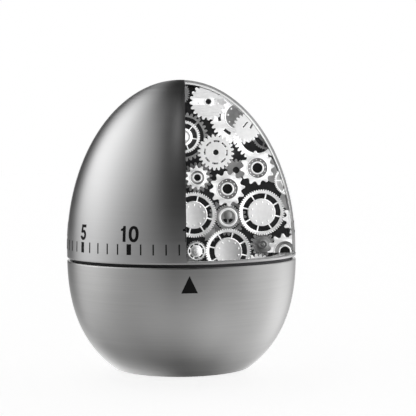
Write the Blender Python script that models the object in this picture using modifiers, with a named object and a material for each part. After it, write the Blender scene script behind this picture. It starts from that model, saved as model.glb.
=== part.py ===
"""Egg-shaped clockwork kitchen timer with a cut-away dial.

The lower shell stands still and carries the movement on a vertical main plate. The upper shell is
the dial: it turns on the bearing ring, and the crown gear on its carrier ring drives a train of
wheels that shows through a quarter window in the dial. The front faces -Y and Z is up.
Lengths below are in millimetres and angles in degrees; the helpers turn them into metres and
radians. Angles of the wheels are seen from the front, from +X towards +Z.
"""

import math

import bmesh
import bpy

MM = 0.001

# The egg
BODY_RADIUS = 30.0
TOTAL_HEIGHT = 76.5
EQUATOR_Z = 32.6
WALL = 1.1
SHELL_STEPS = 28
LOWER_HALF_HEIGHT = 37.0
LOWER_ROUNDNESS = 2.6
DOME_HALF_HEIGHT = TOTAL_HEIGHT - EQUATOR_Z

# The joint between the two shells
DIAL_EDGE_Z = 30.45
BASE_EDGE_Z = 29.75
HEM_RADIUS = 27.3
HEM_HEIGHT = 0.5
BAND_TOP_Z = 31.05
WINDOW_LEFT_X = 1.15
RUNNING_GAP = 0.35
RELIEF_FLOOR_Z = DIAL_EDGE_Z + HEM_HEIGHT + 0.4

# The foot
FOOT_RADIUS = 10.0
SHELL_FLOOR_Z = 1.1
SHELL_HOLE_RADIUS = 8.5
FLOOR_CURVE_RADIUS = 17.1
FLOOR_CURVE_RISE = 0.5

# Layers of the movement, front faces in Y, all one wheel thick
WHEEL_THICKNESS = 0.8
TOP_LAYER = -1.3
FINE_LAYER = -0.2
TRAIN_LAYER = 0.9
BACK_LAYER = 2.0
PLATE_FRONT = 3.1
PLATE_BACK = 4.3
BRIDGE_FRONT = 13.0
BRIDGE_BACK = 14.0

# Teeth
FINE_MODULE = 0.196
TRAIN_MODULE = 0.375
CROWN_TEETH = 36
CROWN_PINION_TEETH = 6
CROWN_INNER_RADIUS = 25.6
CROWN_OUTER_RADIUS = 27.0
CROWN_PITCH_RADIUS = (CROWN_INNER_RADIUS + CROWN_OUTER_RADIUS) / 2
CROWN_MODULE = 2 * CROWN_PITCH_RADIUS / CROWN_TEETH
CROWN_PITCH_Z = 25.75
CROWN_ROOT_Z = 26.55
CROWN_TIP_Z = 25.25
ADDENDUM = 0.8
DEDENDUM = 1.1

# Arbors
ARBOR_RADIUS = 0.5
BORE_RADIUS = 0.55
PLATE_HOLE_RADIUS = 0.60
ARBOR_SIDES = 8
SLEEVE_WALL = 0.3

DRIVE_CENTRE = (0.0, CROWN_PITCH_Z - CROWN_MODULE * CROWN_PINION_TEETH / 2)


# ---------------------------------------------------------------- the train

def pitch_radius(teeth, module):
    return teeth * module / 2


def beside(centre, teeth, other_teeth, module, angle):
    """The centre of the wheel that meshes with the one at centre, in the direction of angle."""
    distance = pitch_radius(teeth + other_teeth, module)
    turn = math.radians(angle)
    return (centre[0] + distance * math.cos(turn), centre[1] + distance * math.sin(turn))


LOWER_LEFT = beside(DRIVE_CENTRE, 46, 12, TRAIN_MODULE, 69.3)
LOWER = beside(LOWER_LEFT, 26, 60, FINE_MODULE, -1.0)
CENTRE = beside(LOWER, 60, 32, FINE_MODULE, 90.4)
RIGHT = beside(CENTRE, 32, 60, FINE_MODULE, 7.5)
LEFT = beside(CENTRE, 32, 60, FINE_MODULE, 175.8)
LOWER_RIGHT = beside(RIGHT, 60, 26, FINE_MODULE, -88.0)
BOTTOM = beside(LOWER_RIGHT, 16, 23, TRAIN_MODULE, -100.0)
COARSE = beside(CENTRE, 25, 15, TRAIN_MODULE, 91.0)
IDLER = beside(COARSE, 15, 14, TRAIN_MODULE, 63.2)
SLOTTED = beside(IDLER, 14, 24, TRAIN_MODULE, 138.4)
UPPER_COARSE = beside(IDLER, 14, 15, TRAIN_MODULE, 5.7)
SMALL = beside(SLOTTED, 24, 20, TRAIN_MODULE, 233.1)
RING = beside(SLOTTED, 17, 33, TRAIN_MODULE, 153.9)
ESCAPE = beside(CENTRE, 25, 10, TRAIN_MODULE, 225.0)
PALLET = (ESCAPE[0], ESCAPE[1] + 6.3)
BALANCE = (ESCAPE[0], ESCAPE[1] + 11.4)

# (follower, its teeth, followed, teeth there, centres): each follower turns against the wheel before it
MESHES = (
    ("lower_left", 12, "drive", 46),
    ("lower", 60, "lower_left", 26),
    ("centre", 32, "lower", 60),
    ("right", 60, "centre", 32),
    ("left", 60, "centre", 32),
    ("lower_right", 26, "right", 60),
    ("bottom", 23, "lower_right", 16),
    ("coarse", 15, "centre", 25),
    ("idler", 14, "coarse", 15),
    ("slotted", 24, "idler", 14),
    ("upper_coarse", 15, "idler", 14),
    ("small", 20, "slotted", 24),
    ("ring", 33, "slotted", 17),
    ("escape", 10, "centre", 25),
)
CENTRES = {
    "drive": DRIVE_CENTRE,
    "lower_left": LOWER_LEFT,
    "lower": LOWER,
    "centre": CENTRE,
    "right": RIGHT,
    "left": LEFT,
    "lower_right": LOWER_RIGHT,
    "bottom": BOTTOM,
    "coarse": COARSE,
    "idler": IDLER,
    "slotted": SLOTTED,
    "upper_coarse": UPPER_COARSE,
    "small": SMALL,
    "ring": RING,
    "escape": ESCAPE,
}


def turns_per_dial_turn():
    """How far each wheel turns for one turn of the dial, anticlockwise from the front as positive."""
    turns = {"drive": CROWN_TEETH / CROWN_PINION_TEETH}
    for follower, teeth, followed, followed_teeth in MESHES:
        turns[follower] = -turns[followed] * followed_teeth / teeth
    return turns


def tooth_phases():
    """The angle of one tooth's middle, in radians, for each (wheel, teeth), so that all mesh at rest."""
    phases = {("drive", 46): 0.0}
    for follower, teeth, followed, followed_teeth in MESHES:
        start, end = CENTRES[followed], CENTRES[follower]
        towards = math.atan2(end[1] - start[1], end[0] - start[0])
        first = phases.setdefault((followed, followed_teeth), 0.0)
        share = (towards - first) * followed_teeth / (2 * math.pi)
        phases[(follower, teeth)] = towards + math.pi - (0.5 - share) * 2 * math.pi / teeth
    return phases


PHASES = tooth_phases()


# ---------------------------------------------------------------- outlines

def circle_points(radius, sides, centre=(0.0, 0.0)):
    turns = [2 * math.pi * i / sides for i in range(sides)]
    return [(centre[0] + radius * math.cos(t), centre[1] + radius * math.sin(t)) for t in turns]


def gear_points(teeth, tip_radius, root_radius, phase=0.0, root_share=0.5, tip_share=0.0):
    """A gear's outline: two points a tooth where the teeth are pointed, or four where they are blunt."""
    pitch = 2 * math.pi / teeth
    corners = [(-root_share, root_radius), (-tip_share, tip_radius)]
    corners += [(tip_share, tip_radius), (root_share, root_radius)]
    if tip_share == 0:
        corners = [(-0.5, root_radius), (0.0, tip_radius)]
    points = []
    for tooth in range(teeth):
        for share, radius in corners:
            angle = phase + (tooth + share) * pitch
            points.append((radius * math.cos(angle), radius * math.sin(angle)))
    return points


def module_gear_points(teeth, module, phase):
    radius = pitch_radius(teeth, module)
    return gear_points(teeth, radius + ADDENDUM * module, radius - DEDENDUM * module, phase)


def slot_points(inner, outer, start, end, steps=1):
    """One slot along an arc, between two radii and two angles in radians."""
    turns = [start + (end - start) * i / steps for i in range(steps + 1)]
    far = [(outer * math.cos(t), outer * math.sin(t)) for t in turns]
    near = [(inner * math.cos(t), inner * math.sin(t)) for t in reversed(turns)]
    return far + near


def slot_ring(inner, outer, count, open_share, phase=0.0, steps=1):
    pitch = 2 * math.pi / count
    half = open_share * pitch / 2
    middles = [phase + i * pitch for i in range(count)]
    return [slot_points(inner, outer, m - half, m + half, steps) for m in middles]


def egg_profile(shrink, steps, top_radius=0.0):
    """(radius, z) down the dome's outline, moved inwards by shrink, to the equator."""
    radius = BODY_RADIUS - shrink
    height = DOME_HALF_HEIGHT - shrink
    first = math.asin(top_radius / radius)
    turns = [first + (math.pi / 2 - first) * i / steps for i in range(steps + 1)]
    return [(radius * math.sin(t), EQUATOR_Z + height * math.cos(t)) for t in turns]


def lower_radius(z, shrink=0.0):
    share = ((EQUATOR_Z - z) / LOWER_HALF_HEIGHT) ** LOWER_ROUNDNESS
    return BODY_RADIUS * math.sqrt(1 - share) - shrink


# ---------------------------------------------------------------- objects

def clear_scene():
    for found in list(bpy.data.objects):
        bpy.data.objects.remove(found)


def new_collection(name):
    collection = bpy.data.collections.new(name)
    bpy.context.scene.collection.children.link(collection)
    return collection


def make_material(name, colour, roughness, metallic):
    material = bpy.data.materials.new(name)
    material.use_nodes = True
    shader = material.node_tree.nodes["Principled BSDF"]
    shader.inputs["Base Color"].default_value = (*colour, 1.0)
    shader.inputs["Roughness"].default_value = roughness
    shader.inputs["Metallic"].default_value = metallic
    material.diffuse_color = (*colour, 1.0)
    return material


def link(name, data, collection, material=None):
    made = bpy.data.objects.new(name, data)
    collection.objects.link(made)
    if material is not None:
        data.materials.append(material)
    return made


def turned(name, profile, collection, material=None, steps=SHELL_STEPS):
    """A turned piece about Z: profile is (radius, z), down its outer side and up its inner side."""
    mesh = bpy.data.meshes.new(name)
    points = [(radius * MM, 0.0, z * MM) for radius, z in profile]
    edges = [(i, i + 1) for i in range(len(points) - 1)]
    if profile[0][0] > 0:
        edges.append((len(points) - 1, 0))
    mesh.from_pydata(points, edges, [])
    made = link(name, mesh, collection, material)
    screw = made.modifiers.new("Turn", "SCREW")
    screw.steps = steps
    screw.render_steps = steps
    screw.use_merge_vertices = True
    screw.merge_threshold = 0.000001
    return made


def lay_along_y(made, centre=(0.0, 0.0)):
    """Turns a piece made about Z so that its top faces the front, at centre in X and Z."""
    made.rotation_euler = (math.radians(90), 0, 0)
    made.location = (centre[0] * MM, 0, centre[1] * MM)
    return made


def flat(name, outlines, thickness, collection, material=None):
    """A flat piece with holes, in the XY plane about Z = 0."""
    curve = bpy.data.curves.new(name, "CURVE")
    curve.dimensions = "2D"
    curve.fill_mode = "BOTH"
    curve.extrude = thickness / 2 * MM
    for outline in outlines:
        spline = curve.splines.new("POLY")
        spline.points.add(len(outline) - 1)
        for point, (x, y) in zip(spline.points, outline):
            point.co = (x * MM, y * MM, 0.0, 1.0)
        spline.use_cyclic_u = True
    return link(name, curve, collection, material)


def flat_facing_front(name, outlines, front, back, collection, material=None, centre=(0.0, 0.0)):
    made = flat(name, outlines, back - front, collection, material)
    lay_along_y(made, centre)
    made.location.y = (front + back) / 2 * MM
    return made


def as_mesh(made):
    """The same object as a plain welded mesh, with its modifiers applied."""
    bpy.context.view_layer.update()
    graph = bpy.context.evaluated_depsgraph_get()
    mesh = bpy.data.meshes.new_from_object(made.evaluated_get(graph))
    welded = bmesh.new()
    welded.from_mesh(mesh)
    bmesh.ops.remove_doubles(welded, verts=welded.verts, dist=0.000002)
    bmesh.ops.recalc_face_normals(welded, faces=welded.faces)
    welded.to_mesh(mesh)
    welded.free()
    name, matrix, collection = made.name, made.matrix_world.copy(), made.users_collection[0]
    bpy.data.objects.remove(made)
    solid = bpy.data.objects.new(name, mesh)
    collection.objects.link(solid)
    solid.matrix_world = matrix
    return solid


def largest_body(made, material):
    """Drops the loose tooth tips that a crop leaves behind."""
    whole = bmesh.new()
    whole.from_mesh(made.data)
    waiting = set(whole.verts)
    bodies = []
    while waiting:
        body = set()
        edge_of_body = [waiting.pop()]
        while edge_of_body:
            corner = edge_of_body.pop()
            body.add(corner)
            beyond = [edge.other_vert(corner) for edge in corner.link_edges]
            fresh = [other for other in beyond if other in waiting]
            waiting.difference_update(fresh)
            edge_of_body.extend(fresh)
        bodies.append(body)
    bodies.sort(key=len)
    for body in bodies[:-1]:
        bmesh.ops.delete(whole, geom=list(body), context="VERTS")
    whole.to_mesh(made.data)
    whole.free()
    made.data.materials.clear()
    made.data.materials.append(material)
    return made


def combine(target, operation, tool):
    step = target.modifiers.new(tool.name, "BOOLEAN")
    step.operation = operation
    step.object = tool
    return target


def box(name, low, high, collection):
    corners = bmesh.new()
    bmesh.ops.create_cube(corners, size=1.0)
    for corner in corners.verts:
        for axis in range(3):
            middle = (low[axis] + high[axis]) / 2
            corner.co[axis] = (middle + corner.co[axis] * (high[axis] - low[axis])) * MM
    mesh = bpy.data.meshes.new(name)
    corners.to_mesh(mesh)
    corners.free()
    return as_tool(link(name, mesh, collection))


def as_tool(made):
    """A cutter or a piece that a Boolean joins on: it is never part of the object itself."""
    made.hide_render = True
    made.display_type = "WIRE"
    return made


def mesh_tool(made):
    return as_tool(as_mesh(made))


class Shop:
    """The collections and materials that every piece is made with."""

    def __init__(self):
        self.parts = new_collection("kitchen_timer")
        self.tools = new_collection("cutters")
        self.steel = make_material("brushed_steel", (0.55, 0.55, 0.54), 0.35, 1.0)
        self.bright = make_material("bright_wheel", (0.80, 0.80, 0.79), 0.25, 1.0)
        self.dark_wheel = make_material("dim_wheel", (0.28, 0.28, 0.28), 0.4, 1.0)
        self.black = make_material("black_plate", (0.02, 0.02, 0.022), 0.5, 0.0)
        self.rubber = make_material("rubber", (0.03, 0.03, 0.03), 0.8, 0.0)
        self.brass = make_material("brass", (0.70, 0.52, 0.25), 0.35, 1.0)


# ---------------------------------------------------------------- shells and base

def upper_shell(shop):
    """The dial: a thin steel dome with a turned-in hem and a window cut from its front right quarter."""
    edge = [(lower_radius(DIAL_EDGE_Z + 0.5), DIAL_EDGE_Z + 0.5)]
    edge += [(lower_radius(DIAL_EDGE_Z) - 0.4, DIAL_EDGE_Z), (HEM_RADIUS, DIAL_EDGE_Z)]
    hem_top = DIAL_EDGE_Z + HEM_HEIGHT
    edge += [(HEM_RADIUS, hem_top), (lower_radius(hem_top, WALL), hem_top)]
    outside = egg_profile(0.0, 8)
    inside = list(reversed(egg_profile(WALL, 7)))
    dome = turned("upper_shell", outside + edge + inside, shop.parts, shop.steel)
    window = box("window_cutter", (WINDOW_LEFT_X, -40, BAND_TOP_Z), (40, 0, 90), shop.tools)
    return combine(dome, "DIFFERENCE", window)


def lower_shell(shop):
    """The fixed cup, open at the top and with a hole in its floor for the foot."""
    heights = [BASE_EDGE_Z - 0.4, 22.0, 15.5, 9.8, 5.8, 3.4]
    outside = [(lower_radius(BASE_EDGE_Z) - 0.4, BASE_EDGE_Z)] + [(lower_radius(z), z) for z in heights]
    floor = []
    for share in (1.0, 0.5, 0.0):
        radius = FOOT_RADIUS + (FLOOR_CURVE_RADIUS - FOOT_RADIUS) * share
        floor.append((radius, SHELL_FLOOR_Z + FLOOR_CURVE_RISE * share ** 2.2))
    floor.append((SHELL_HOLE_RADIUS, SHELL_FLOOR_Z))
    inside = [(SHELL_HOLE_RADIUS, SHELL_FLOOR_Z + WALL)]
    inside += [(16.0, SHELL_FLOOR_Z + WALL + 0.3), (lower_radius(5.8, 1.5), 6.2)]
    inside.append((lower_radius(15.5, WALL), 15.5))
    inside.append((lower_radius(BASE_EDGE_Z, WALL), BASE_EDGE_Z))
    return turned("lower_shell", outside + floor + inside, shop.parts, shop.steel)


def bearing_ring(shop):
    """The black ring in the gap, on which the dial's hem turns."""
    lip, top = BASE_EDGE_Z + 0.25, BASE_EDGE_Z + 0.45
    profile = [(29.0, top), (29.0, lip), (28.45, lip), (28.45, 27.2), (27.4, 27.2), (27.4, top)]
    return turned("bearing_ring", profile, shop.parts, shop.black)


def base_cover(shop):
    """A black plug that closes the floor, grooved for the rubber foot and drilled for three screws."""
    profile = [(0.0, 3.2), (8.2, 3.2), (8.2, 0.8), (FOOT_RADIUS, 0.8), (FOOT_RADIUS, 0.3)]
    profile += [(9.7, 0.3), (9.7, 0.5), (7.6, 0.5), (7.6, 0.3), (0.0, 0.3)]
    cover = turned("base_cover", profile, shop.parts, shop.black, 20)
    for index, (x, y) in enumerate(screw_places()):
        steps = [(0.0, 4.0), (0.95, 4.0), (0.95, 1.6), (1.75, 1.6), (1.75, -1.0), (0.0, -1.0)]
        hole = turned(f"screw_hole_{index + 1}", steps, shop.tools, None, 8)
        hole.location = (x * MM, y * MM, 0)
        combine(cover, "DIFFERENCE", mesh_tool(hole))
    return cover


def screw_places():
    turns = [math.radians(a) for a in (30, 150, 270)]
    return [(5.2 * math.cos(t), 5.2 * math.sin(t)) for t in turns]


def base_screws(shop):
    for index, (x, y) in enumerate(screw_places()):
        profile = [(0.0, 5.6), (0.65, 5.6), (0.65, 1.3), (1.45, 1.3), (1.45, 0.6), (0.0, 0.6)]
        screw = turned(f"base_screw_{index + 1}", profile, shop.parts, shop.steel, 8)
        screw.location = (x * MM, y * MM, 0)


def foot_ring(shop):
    profile = [(9.4, 0.45), (9.4, 0.0), (7.9, 0.0), (7.9, 0.45)]
    return turned("foot_ring", profile, shop.parts, shop.rubber, 20)


def chassis(shop):
    """One moulding: a tray on the base cover, four pillars and the deck that closes the lower shell."""
    tray_profile = [(0.0, 4.9), (12.6, 4.9), (12.6, 7.2), (14.0, 7.2), (14.0, 3.5), (0.0, 3.5)]
    tray = turned("chassis", tray_profile, shop.parts, shop.black, 24)
    deck_profile = [(0.0, 27.8), (25.2, 27.8), (25.2, 26.8), (0.0, 26.8)]
    deck = mesh_tool(turned("deck", deck_profile, shop.tools, None, SHELL_STEPS))
    combine(tray, "UNION", deck)
    for index, (x, y) in enumerate(((-14.5, -9), (14.5, -9), (-14.5, 12), (14.5, 12))):
        shaft = [(0.0, 27.3), (1.7, 27.3), (1.7, 6.6), (0.0, 6.6)]
        foot = turned(f"pillar_{index + 1}", shaft, shop.tools, None, 8)
        foot.location = (x * MM, y * MM, 0)
        combine(tray, "UNION", mesh_tool(foot))
    arms = [(-16, -10.2, -9, 13.2), (9, -10.2, 16, 13.2), (8.6, -16.6, 11.6, -9.6)]
    for index, (x0, y0, x1, y1) in enumerate(arms):
        combine(tray, "UNION", box(f"tray_arm_{index + 1}", (x0, y0, 6.2), (x1, y1, 7.1), shop.tools))
    slot = box("wheel_slot", (-13.3, TOP_LAYER - 0.6, 26), (30, PLATE_BACK + 0.4, 29), shop.tools)
    combine(tray, "DIFFERENCE", slot)
    well = box("barrel_well", (-9.2, 3.9, 26), (9.2, BRIDGE_BACK + 0.6, 29), shop.tools)
    combine(tray, "DIFFERENCE", well)
    for index, (x, y) in enumerate(screw_places()):
        bit = [(0.0, 7), (0.8, 7), (0.8, 2), (0.0, 2)]
        hole = turned(f"tray_hole_{index + 1}", bit, shop.tools, None, 8)
        hole.location = (x * MM, y * MM, 0)
        combine(tray, "DIFFERENCE", mesh_tool(hole))
    return tray


def carrier_ring(shop):
    """The dial's ring inside the hem, with crown teeth on its lower edge: three stations a tooth."""
    top = DIAL_EDGE_Z + HEM_HEIGHT
    ring = bmesh.new()
    sections = []
    pitch = 2 * math.pi / CROWN_TEETH
    for tooth in range(CROWN_TEETH):
        for share, z in ((-0.4, CROWN_ROOT_Z), (0.0, CROWN_TIP_Z), (0.4, CROWN_ROOT_Z)):
            angle = math.pi / 2 + (tooth + share) * pitch
            across = (math.cos(angle), math.sin(angle))
            corners = (
                (CROWN_OUTER_RADIUS, top),
                (CROWN_OUTER_RADIUS, z),
                (CROWN_INNER_RADIUS, z),
                (CROWN_INNER_RADIUS, top),
            )
            places = [(r * across[0] * MM, r * across[1] * MM, h * MM) for r, h in corners]
            sections.append([ring.verts.new(place) for place in places])
    for index, section in enumerate(sections):
        following = sections[(index + 1) % len(sections)]
        for corner in range(4):
            after = (corner + 1) % 4
            ring.faces.new((section[corner], section[after], following[after], following[corner]))
    bmesh.ops.recalc_face_normals(ring, faces=ring.faces)
    mesh = bpy.data.meshes.new("carrier_ring")
    ring.to_mesh(mesh)
    ring.free()
    return link("carrier_ring", mesh, shop.parts, shop.black)


# ---------------------------------------------------------------- plates and bridge

def main_plate(shop):
    """The black vertical plate that carries every arbor: it fills the dome's outline above the deck."""
    top = egg_profile(WALL + RUNNING_GAP + 0.1, 10, top_radius=PLATE_BACK + 0.4)
    right = [(math.sqrt(r * r - PLATE_BACK ** 2), z) for r, z in top]
    right.append((math.sqrt((BODY_RADIUS - WALL - 0.6) ** 2 - PLATE_BACK ** 2), RELIEF_FLOOR_Z))
    right.append((24.2, RELIEF_FLOOR_Z))
    left = [(-x, z) for x, z in reversed(right)]
    tail = [(24.2, 23.2), (14.0, 22.6), (11.5, 13.6), (-11.5, 13.6)]
    tail += [(-12.9, 26.0), (-12.9, 28.2), (-24.2, 28.2)]
    holes = [circle_points(PLATE_HOLE_RADIUS, ARBOR_SIDES, c) for c in CENTRES.values()]
    holes += [circle_points(0.45, 8, PALLET), circle_points(0.45, 8, BALANCE)]
    outlines = [right + tail + left] + holes
    return flat_facing_front("main_plate", outlines, PLATE_FRONT, PLATE_BACK, shop.parts, shop.black)


def bridge_places():
    return [(-8.0, 33.0), (16.5, 33.5), (-4.0, 55.0)]


def rear_bridge(shop):
    """The rear plate: it holds the back ends of the drive, escape, pallet and balance arbors."""
    outline = [(-10.0, 30.0), (-10.0, 38.0), (-7.0, 57.0), (13.0, 57.0), (18.5, 38.0), (18.5, 30.0)]
    outline += [(5.0, 28.6), (4.0, 17.5), (-4.0, 17.5), (-5.0, 28.6)]
    holes = [circle_points(0.75, ARBOR_SIDES, c) for c in (DRIVE_CENTRE, ESCAPE)]
    holes += [circle_points(0.45, 8, PALLET), circle_points(0.45, 8, BALANCE)]
    holes += [circle_points(0.65, 8, place) for place in bridge_places()]
    outlines = [outline] + holes
    return flat_facing_front("rear_bridge", outlines, BRIDGE_FRONT, BRIDGE_BACK, shop.parts, shop.brass)


def bridge_pillars(shop):
    for index, place in enumerate(bridge_places()):
        profile = [(0.0, -PLATE_BACK - 0.1), (1.5, -PLATE_BACK - 0.1), (1.5, -BRIDGE_FRONT + 0.1)]
        profile += [(0.55, -BRIDGE_FRONT + 0.1), (0.55, -BRIDGE_BACK - 0.8), (0.0, -BRIDGE_BACK - 0.8)]
        lay_along_y(turned(f"bridge_pillar_{index + 1}", profile, shop.parts, shop.steel, 10), place)


# ---------------------------------------------------------------- wheels and arbors

def wheel(shop, name, station, outlines, layer, material):
    back = layer + WHEEL_THICKNESS
    return flat_facing_front(name, outlines, layer, back, shop.parts, material, CENTRES[station])


def bore():
    return circle_points(BORE_RADIUS, ARBOR_SIDES)


def arbor(shop, name, station, front_steps, pinions=(), back_steps=None, material=None):
    """A turned arbor; steps are (radius, y) from the front. Pinions, as (outline, layer), are cut on it."""
    steps = [(0.0, front_steps[0][1])] + list(front_steps)
    back_steps = back_steps or [(ARBOR_RADIUS, 4.45), (0.85, 4.45), (0.85, 4.9)]
    steps += back_steps
    steps.append((0.0, back_steps[-1][1]))
    profile = [(radius, -y) for radius, y in steps]
    made = turned(name, profile, shop.parts, material or shop.bright, ARBOR_SIDES)
    lay_along_y(made, CENTRES[station])
    for index, (outline, layer) in enumerate(pinions):
        tool_name = f"{name}_pinion_{index + 1}"
        back = layer + WHEEL_THICKNESS
        tool = flat_facing_front(tool_name, [outline], layer, back, shop.tools, None, CENTRES[station])
        combine(made, "UNION", mesh_tool(tool))
    return made


def phased(station, teeth, module):
    return module_gear_points(teeth, module, PHASES.get((station, teeth), 0.0))


def fine_wheel(shop, name, station):
    """A fine-toothed wheel: a rim and a disc joined by eight spokes."""
    outlines = [phased(station, 60, FINE_MODULE), bore()]
    outlines += slot_ring(3.75, 4.95, 8, 0.84, math.radians(5))
    wheel(shop, name, station, outlines, FINE_LAYER, shop.bright)


def capped_arbor(shop, name, station, cap_radius):
    """An arbor whose front end is a thin domed cap over its wheel."""
    steps = [(cap_radius * 0.6, -0.95), (cap_radius, -0.7), (cap_radius, -0.5), (ARBOR_RADIUS, -0.5)]
    return arbor(shop, name, station, steps)


def pierced_arbor(shop, name, station, ring_radius, hole_radius, pinions):
    """An arbor whose front end is a collar over its wheel, with a round groove and a deep dark hole."""
    front = TOP_LAYER - 0.75
    sleeve = hole_radius + SLEEVE_WALL
    steps = [(hole_radius, -0.85), (hole_radius, front), (hole_radius + 0.4, front)]
    steps += [(hole_radius + 0.4, TOP_LAYER - 0.45), (ring_radius, TOP_LAYER - 0.45)]
    steps += [(ring_radius, TOP_LAYER - 0.05), (sleeve, TOP_LAYER - 0.05)]
    steps += [(sleeve, -0.4), (ARBOR_RADIUS, -0.4)]
    return arbor(shop, name, station, steps, pinions)


def coarse_wheel(shop, name, station, teeth, tip_radius, hole_radius, phase):
    """A wheel with long coarse teeth, on the sleeve of its pierced arbor."""
    sleeve_hole = circle_points(hole_radius + SLEEVE_WALL + 0.08, 12)
    outlines = [coarse_gear_points(teeth, tip_radius, phase), sleeve_hole]
    return wheel(shop, name, station, outlines, TOP_LAYER, shop.bright)


def coarse_gear_points(teeth, tip_radius, phase):
    return gear_points(teeth, tip_radius, tip_radius * 0.79, phase, 0.40, 0.08)


def build_drive(shop):
    """The crown pinion and drive wheel, on the one arbor that runs right through the movement."""
    pinion = gear_points(
        CROWN_PINION_TEETH,
        pitch_radius(CROWN_PINION_TEETH, CROWN_MODULE) + CROWN_PITCH_Z - CROWN_TIP_Z + 0.1,
        pitch_radius(CROWN_PINION_TEETH, CROWN_MODULE) - CROWN_ROOT_Z + CROWN_PITCH_Z - 0.1,
        math.pi / 2 + math.pi / CROWN_PINION_TEETH,
        0.33,
        0.12,
    )
    back = [(ARBOR_RADIUS, 4.45), (0.65, 4.45), (0.65, CROWN_OUTER_RADIUS - 0.15)]
    made = arbor(shop, "drive_arbor", "drive", [(ARBOR_RADIUS, 1.6)], (), back, shop.steel)
    tool = flat_facing_front(
        "drive_arbor_pinion",
        [pinion],
        CROWN_INNER_RADIUS + 0.15,
        CROWN_OUTER_RADIUS - 0.4,
        shop.tools,
        None,
        DRIVE_CENTRE,
    )
    combine(made, "UNION", mesh_tool(tool))
    outlines = [phased("drive", 46, TRAIN_MODULE), bore()] + slot_ring(2.6, 6.6, 4, 0.80)
    wheel(shop, "drive_wheel", "drive", outlines, BACK_LAYER, shop.dark_wheel)


def build_fine_train(shop):
    """The three fine wheels round the centre pinion, and the two pinions below them."""
    for name, station in (("lower_wheel", "lower"), ("left_wheel", "left"), ("right_wheel", "right")):
        fine_wheel(shop, name, station)
        capped_arbor(shop, name.replace("wheel", "arbor"), station, 3.6)
    pinion = (phased("lower_left", 26, FINE_MODULE), FINE_LAYER)
    small = (phased("lower_left", 12, TRAIN_MODULE), BACK_LAYER)
    steps = [(1.3, -1.3), (1.3, -0.8), (2.15, -0.8), (2.15, -0.2)]
    arbor(shop, "lower_left_arbor", "lower_left", steps + [(ARBOR_RADIUS, -0.2)], (pinion, small))

    pinion = (phased("centre", 32, FINE_MODULE), FINE_LAYER)
    steps = [(1.75, -0.6), (1.75, -1.1), (2.5, -1.1), (2.5, -0.2), (ARBOR_RADIUS, -0.2)]
    arbor(shop, "centre_arbor", "centre", [(0.5, -0.6)] + steps, (pinion,))
    outlines = [phased("centre", 25, TRAIN_MODULE), bore()] + slot_ring(1.6, 3.6, 4, 0.72, math.radians(20))
    wheel(shop, "centre_wheel", "centre", outlines, TRAIN_LAYER, shop.dark_wheel)

    pinion = (phased("lower_right", 26, FINE_MODULE), FINE_LAYER)
    steps = [(0.4, -1.0), (0.4, -0.7), (1.3, -0.7), (1.3, -0.45), (2.0, -0.45), (2.0, -0.2)]
    steps.append((ARBOR_RADIUS, -0.2))
    arbor(shop, "lower_right_arbor", "lower_right", steps, (pinion,), material=shop.dark_wheel)
    outlines = [phased("lower_right", 16, TRAIN_MODULE), bore()] + slot_ring(1.3, 2.2, 4, 0.7)
    wheel(shop, "lower_right_wheel", "lower_right", outlines, TRAIN_LAYER, shop.dark_wheel)


def build_upper_train(shop):
    """The wheels above: two coarse ones, the small one, the slotted one, the ring one and their links."""
    outlines = [phased("bottom", 23, TRAIN_MODULE), bore()]
    wheel(shop, "bottom_wheel", "bottom", outlines, TRAIN_LAYER, shop.bright)
    arbor(shop, "bottom_arbor", "bottom", [(ARBOR_RADIUS, 0.6)])

    coarse_wheel(shop, "coarse_wheel", "coarse", 12, 4.67, 1.3, math.radians(96))
    link_pinion = (phased("coarse", 15, TRAIN_MODULE), TRAIN_LAYER)
    pierced_arbor(shop, "coarse_arbor", "coarse", 2.93, 1.3, (link_pinion,))

    coarse_wheel(shop, "upper_coarse_wheel", "upper_coarse", 12, 4.50, 1.3, math.radians(96))
    link_pinion = (phased("upper_coarse", 15, TRAIN_MODULE), TRAIN_LAYER)
    pierced_arbor(shop, "upper_coarse_arbor", "upper_coarse", 2.85, 1.3, (link_pinion,))

    coarse_wheel(shop, "small_wheel", "small", 12, 3.18, 0.87, math.radians(5))
    outlines = [phased("small", 20, TRAIN_MODULE), bore()] + slot_ring(1.4, 2.8, 4, 0.7, math.radians(30))
    wheel(shop, "small_back_wheel", "small", outlines, TRAIN_LAYER, shop.dark_wheel)
    pierced_arbor(shop, "small_arbor", "small", 2.05, 0.87, ())

    outlines = [phased("slotted", 24, TRAIN_MODULE), bore()] + slot_ring(2.8, 3.12, 8, 0.72)
    wheel(shop, "slotted_wheel", "slotted", outlines, TRAIN_LAYER, shop.bright)
    front = [(ARBOR_RADIUS, 0.2), (1.0, 0.2), (1.0, 0.75), (ARBOR_RADIUS, 0.75)]
    arbor(shop, "slotted_arbor", "slotted", front, ((phased("slotted", 17, TRAIN_MODULE), BACK_LAYER),))

    outlines = [phased("ring", 33, TRAIN_MODULE), bore()] + slot_ring(1.5, 5.0, 5, 0.82, math.radians(10))
    wheel(shop, "ring_wheel", "ring", outlines, BACK_LAYER, shop.dark_wheel)
    front = [(1.2, 0.4), (2.4, 0.8), (4.1, 1.2), (4.1, 1.6), (ARBOR_RADIUS, 1.6)]
    arbor(shop, "ring_arbor", "ring", front, (), None, shop.dark_wheel)

    outlines = [phased("idler", 14, TRAIN_MODULE), bore()]
    wheel(shop, "idler_wheel", "idler", outlines, TRAIN_LAYER, shop.dark_wheel)
    steps = [(0.9, 0.55), (0.9, 0.8), (ARBOR_RADIUS, 0.8)]
    arbor(shop, "idler_arbor", "idler", steps, material=shop.steel)


# ---------------------------------------------------------------- fixed relief gears

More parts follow.
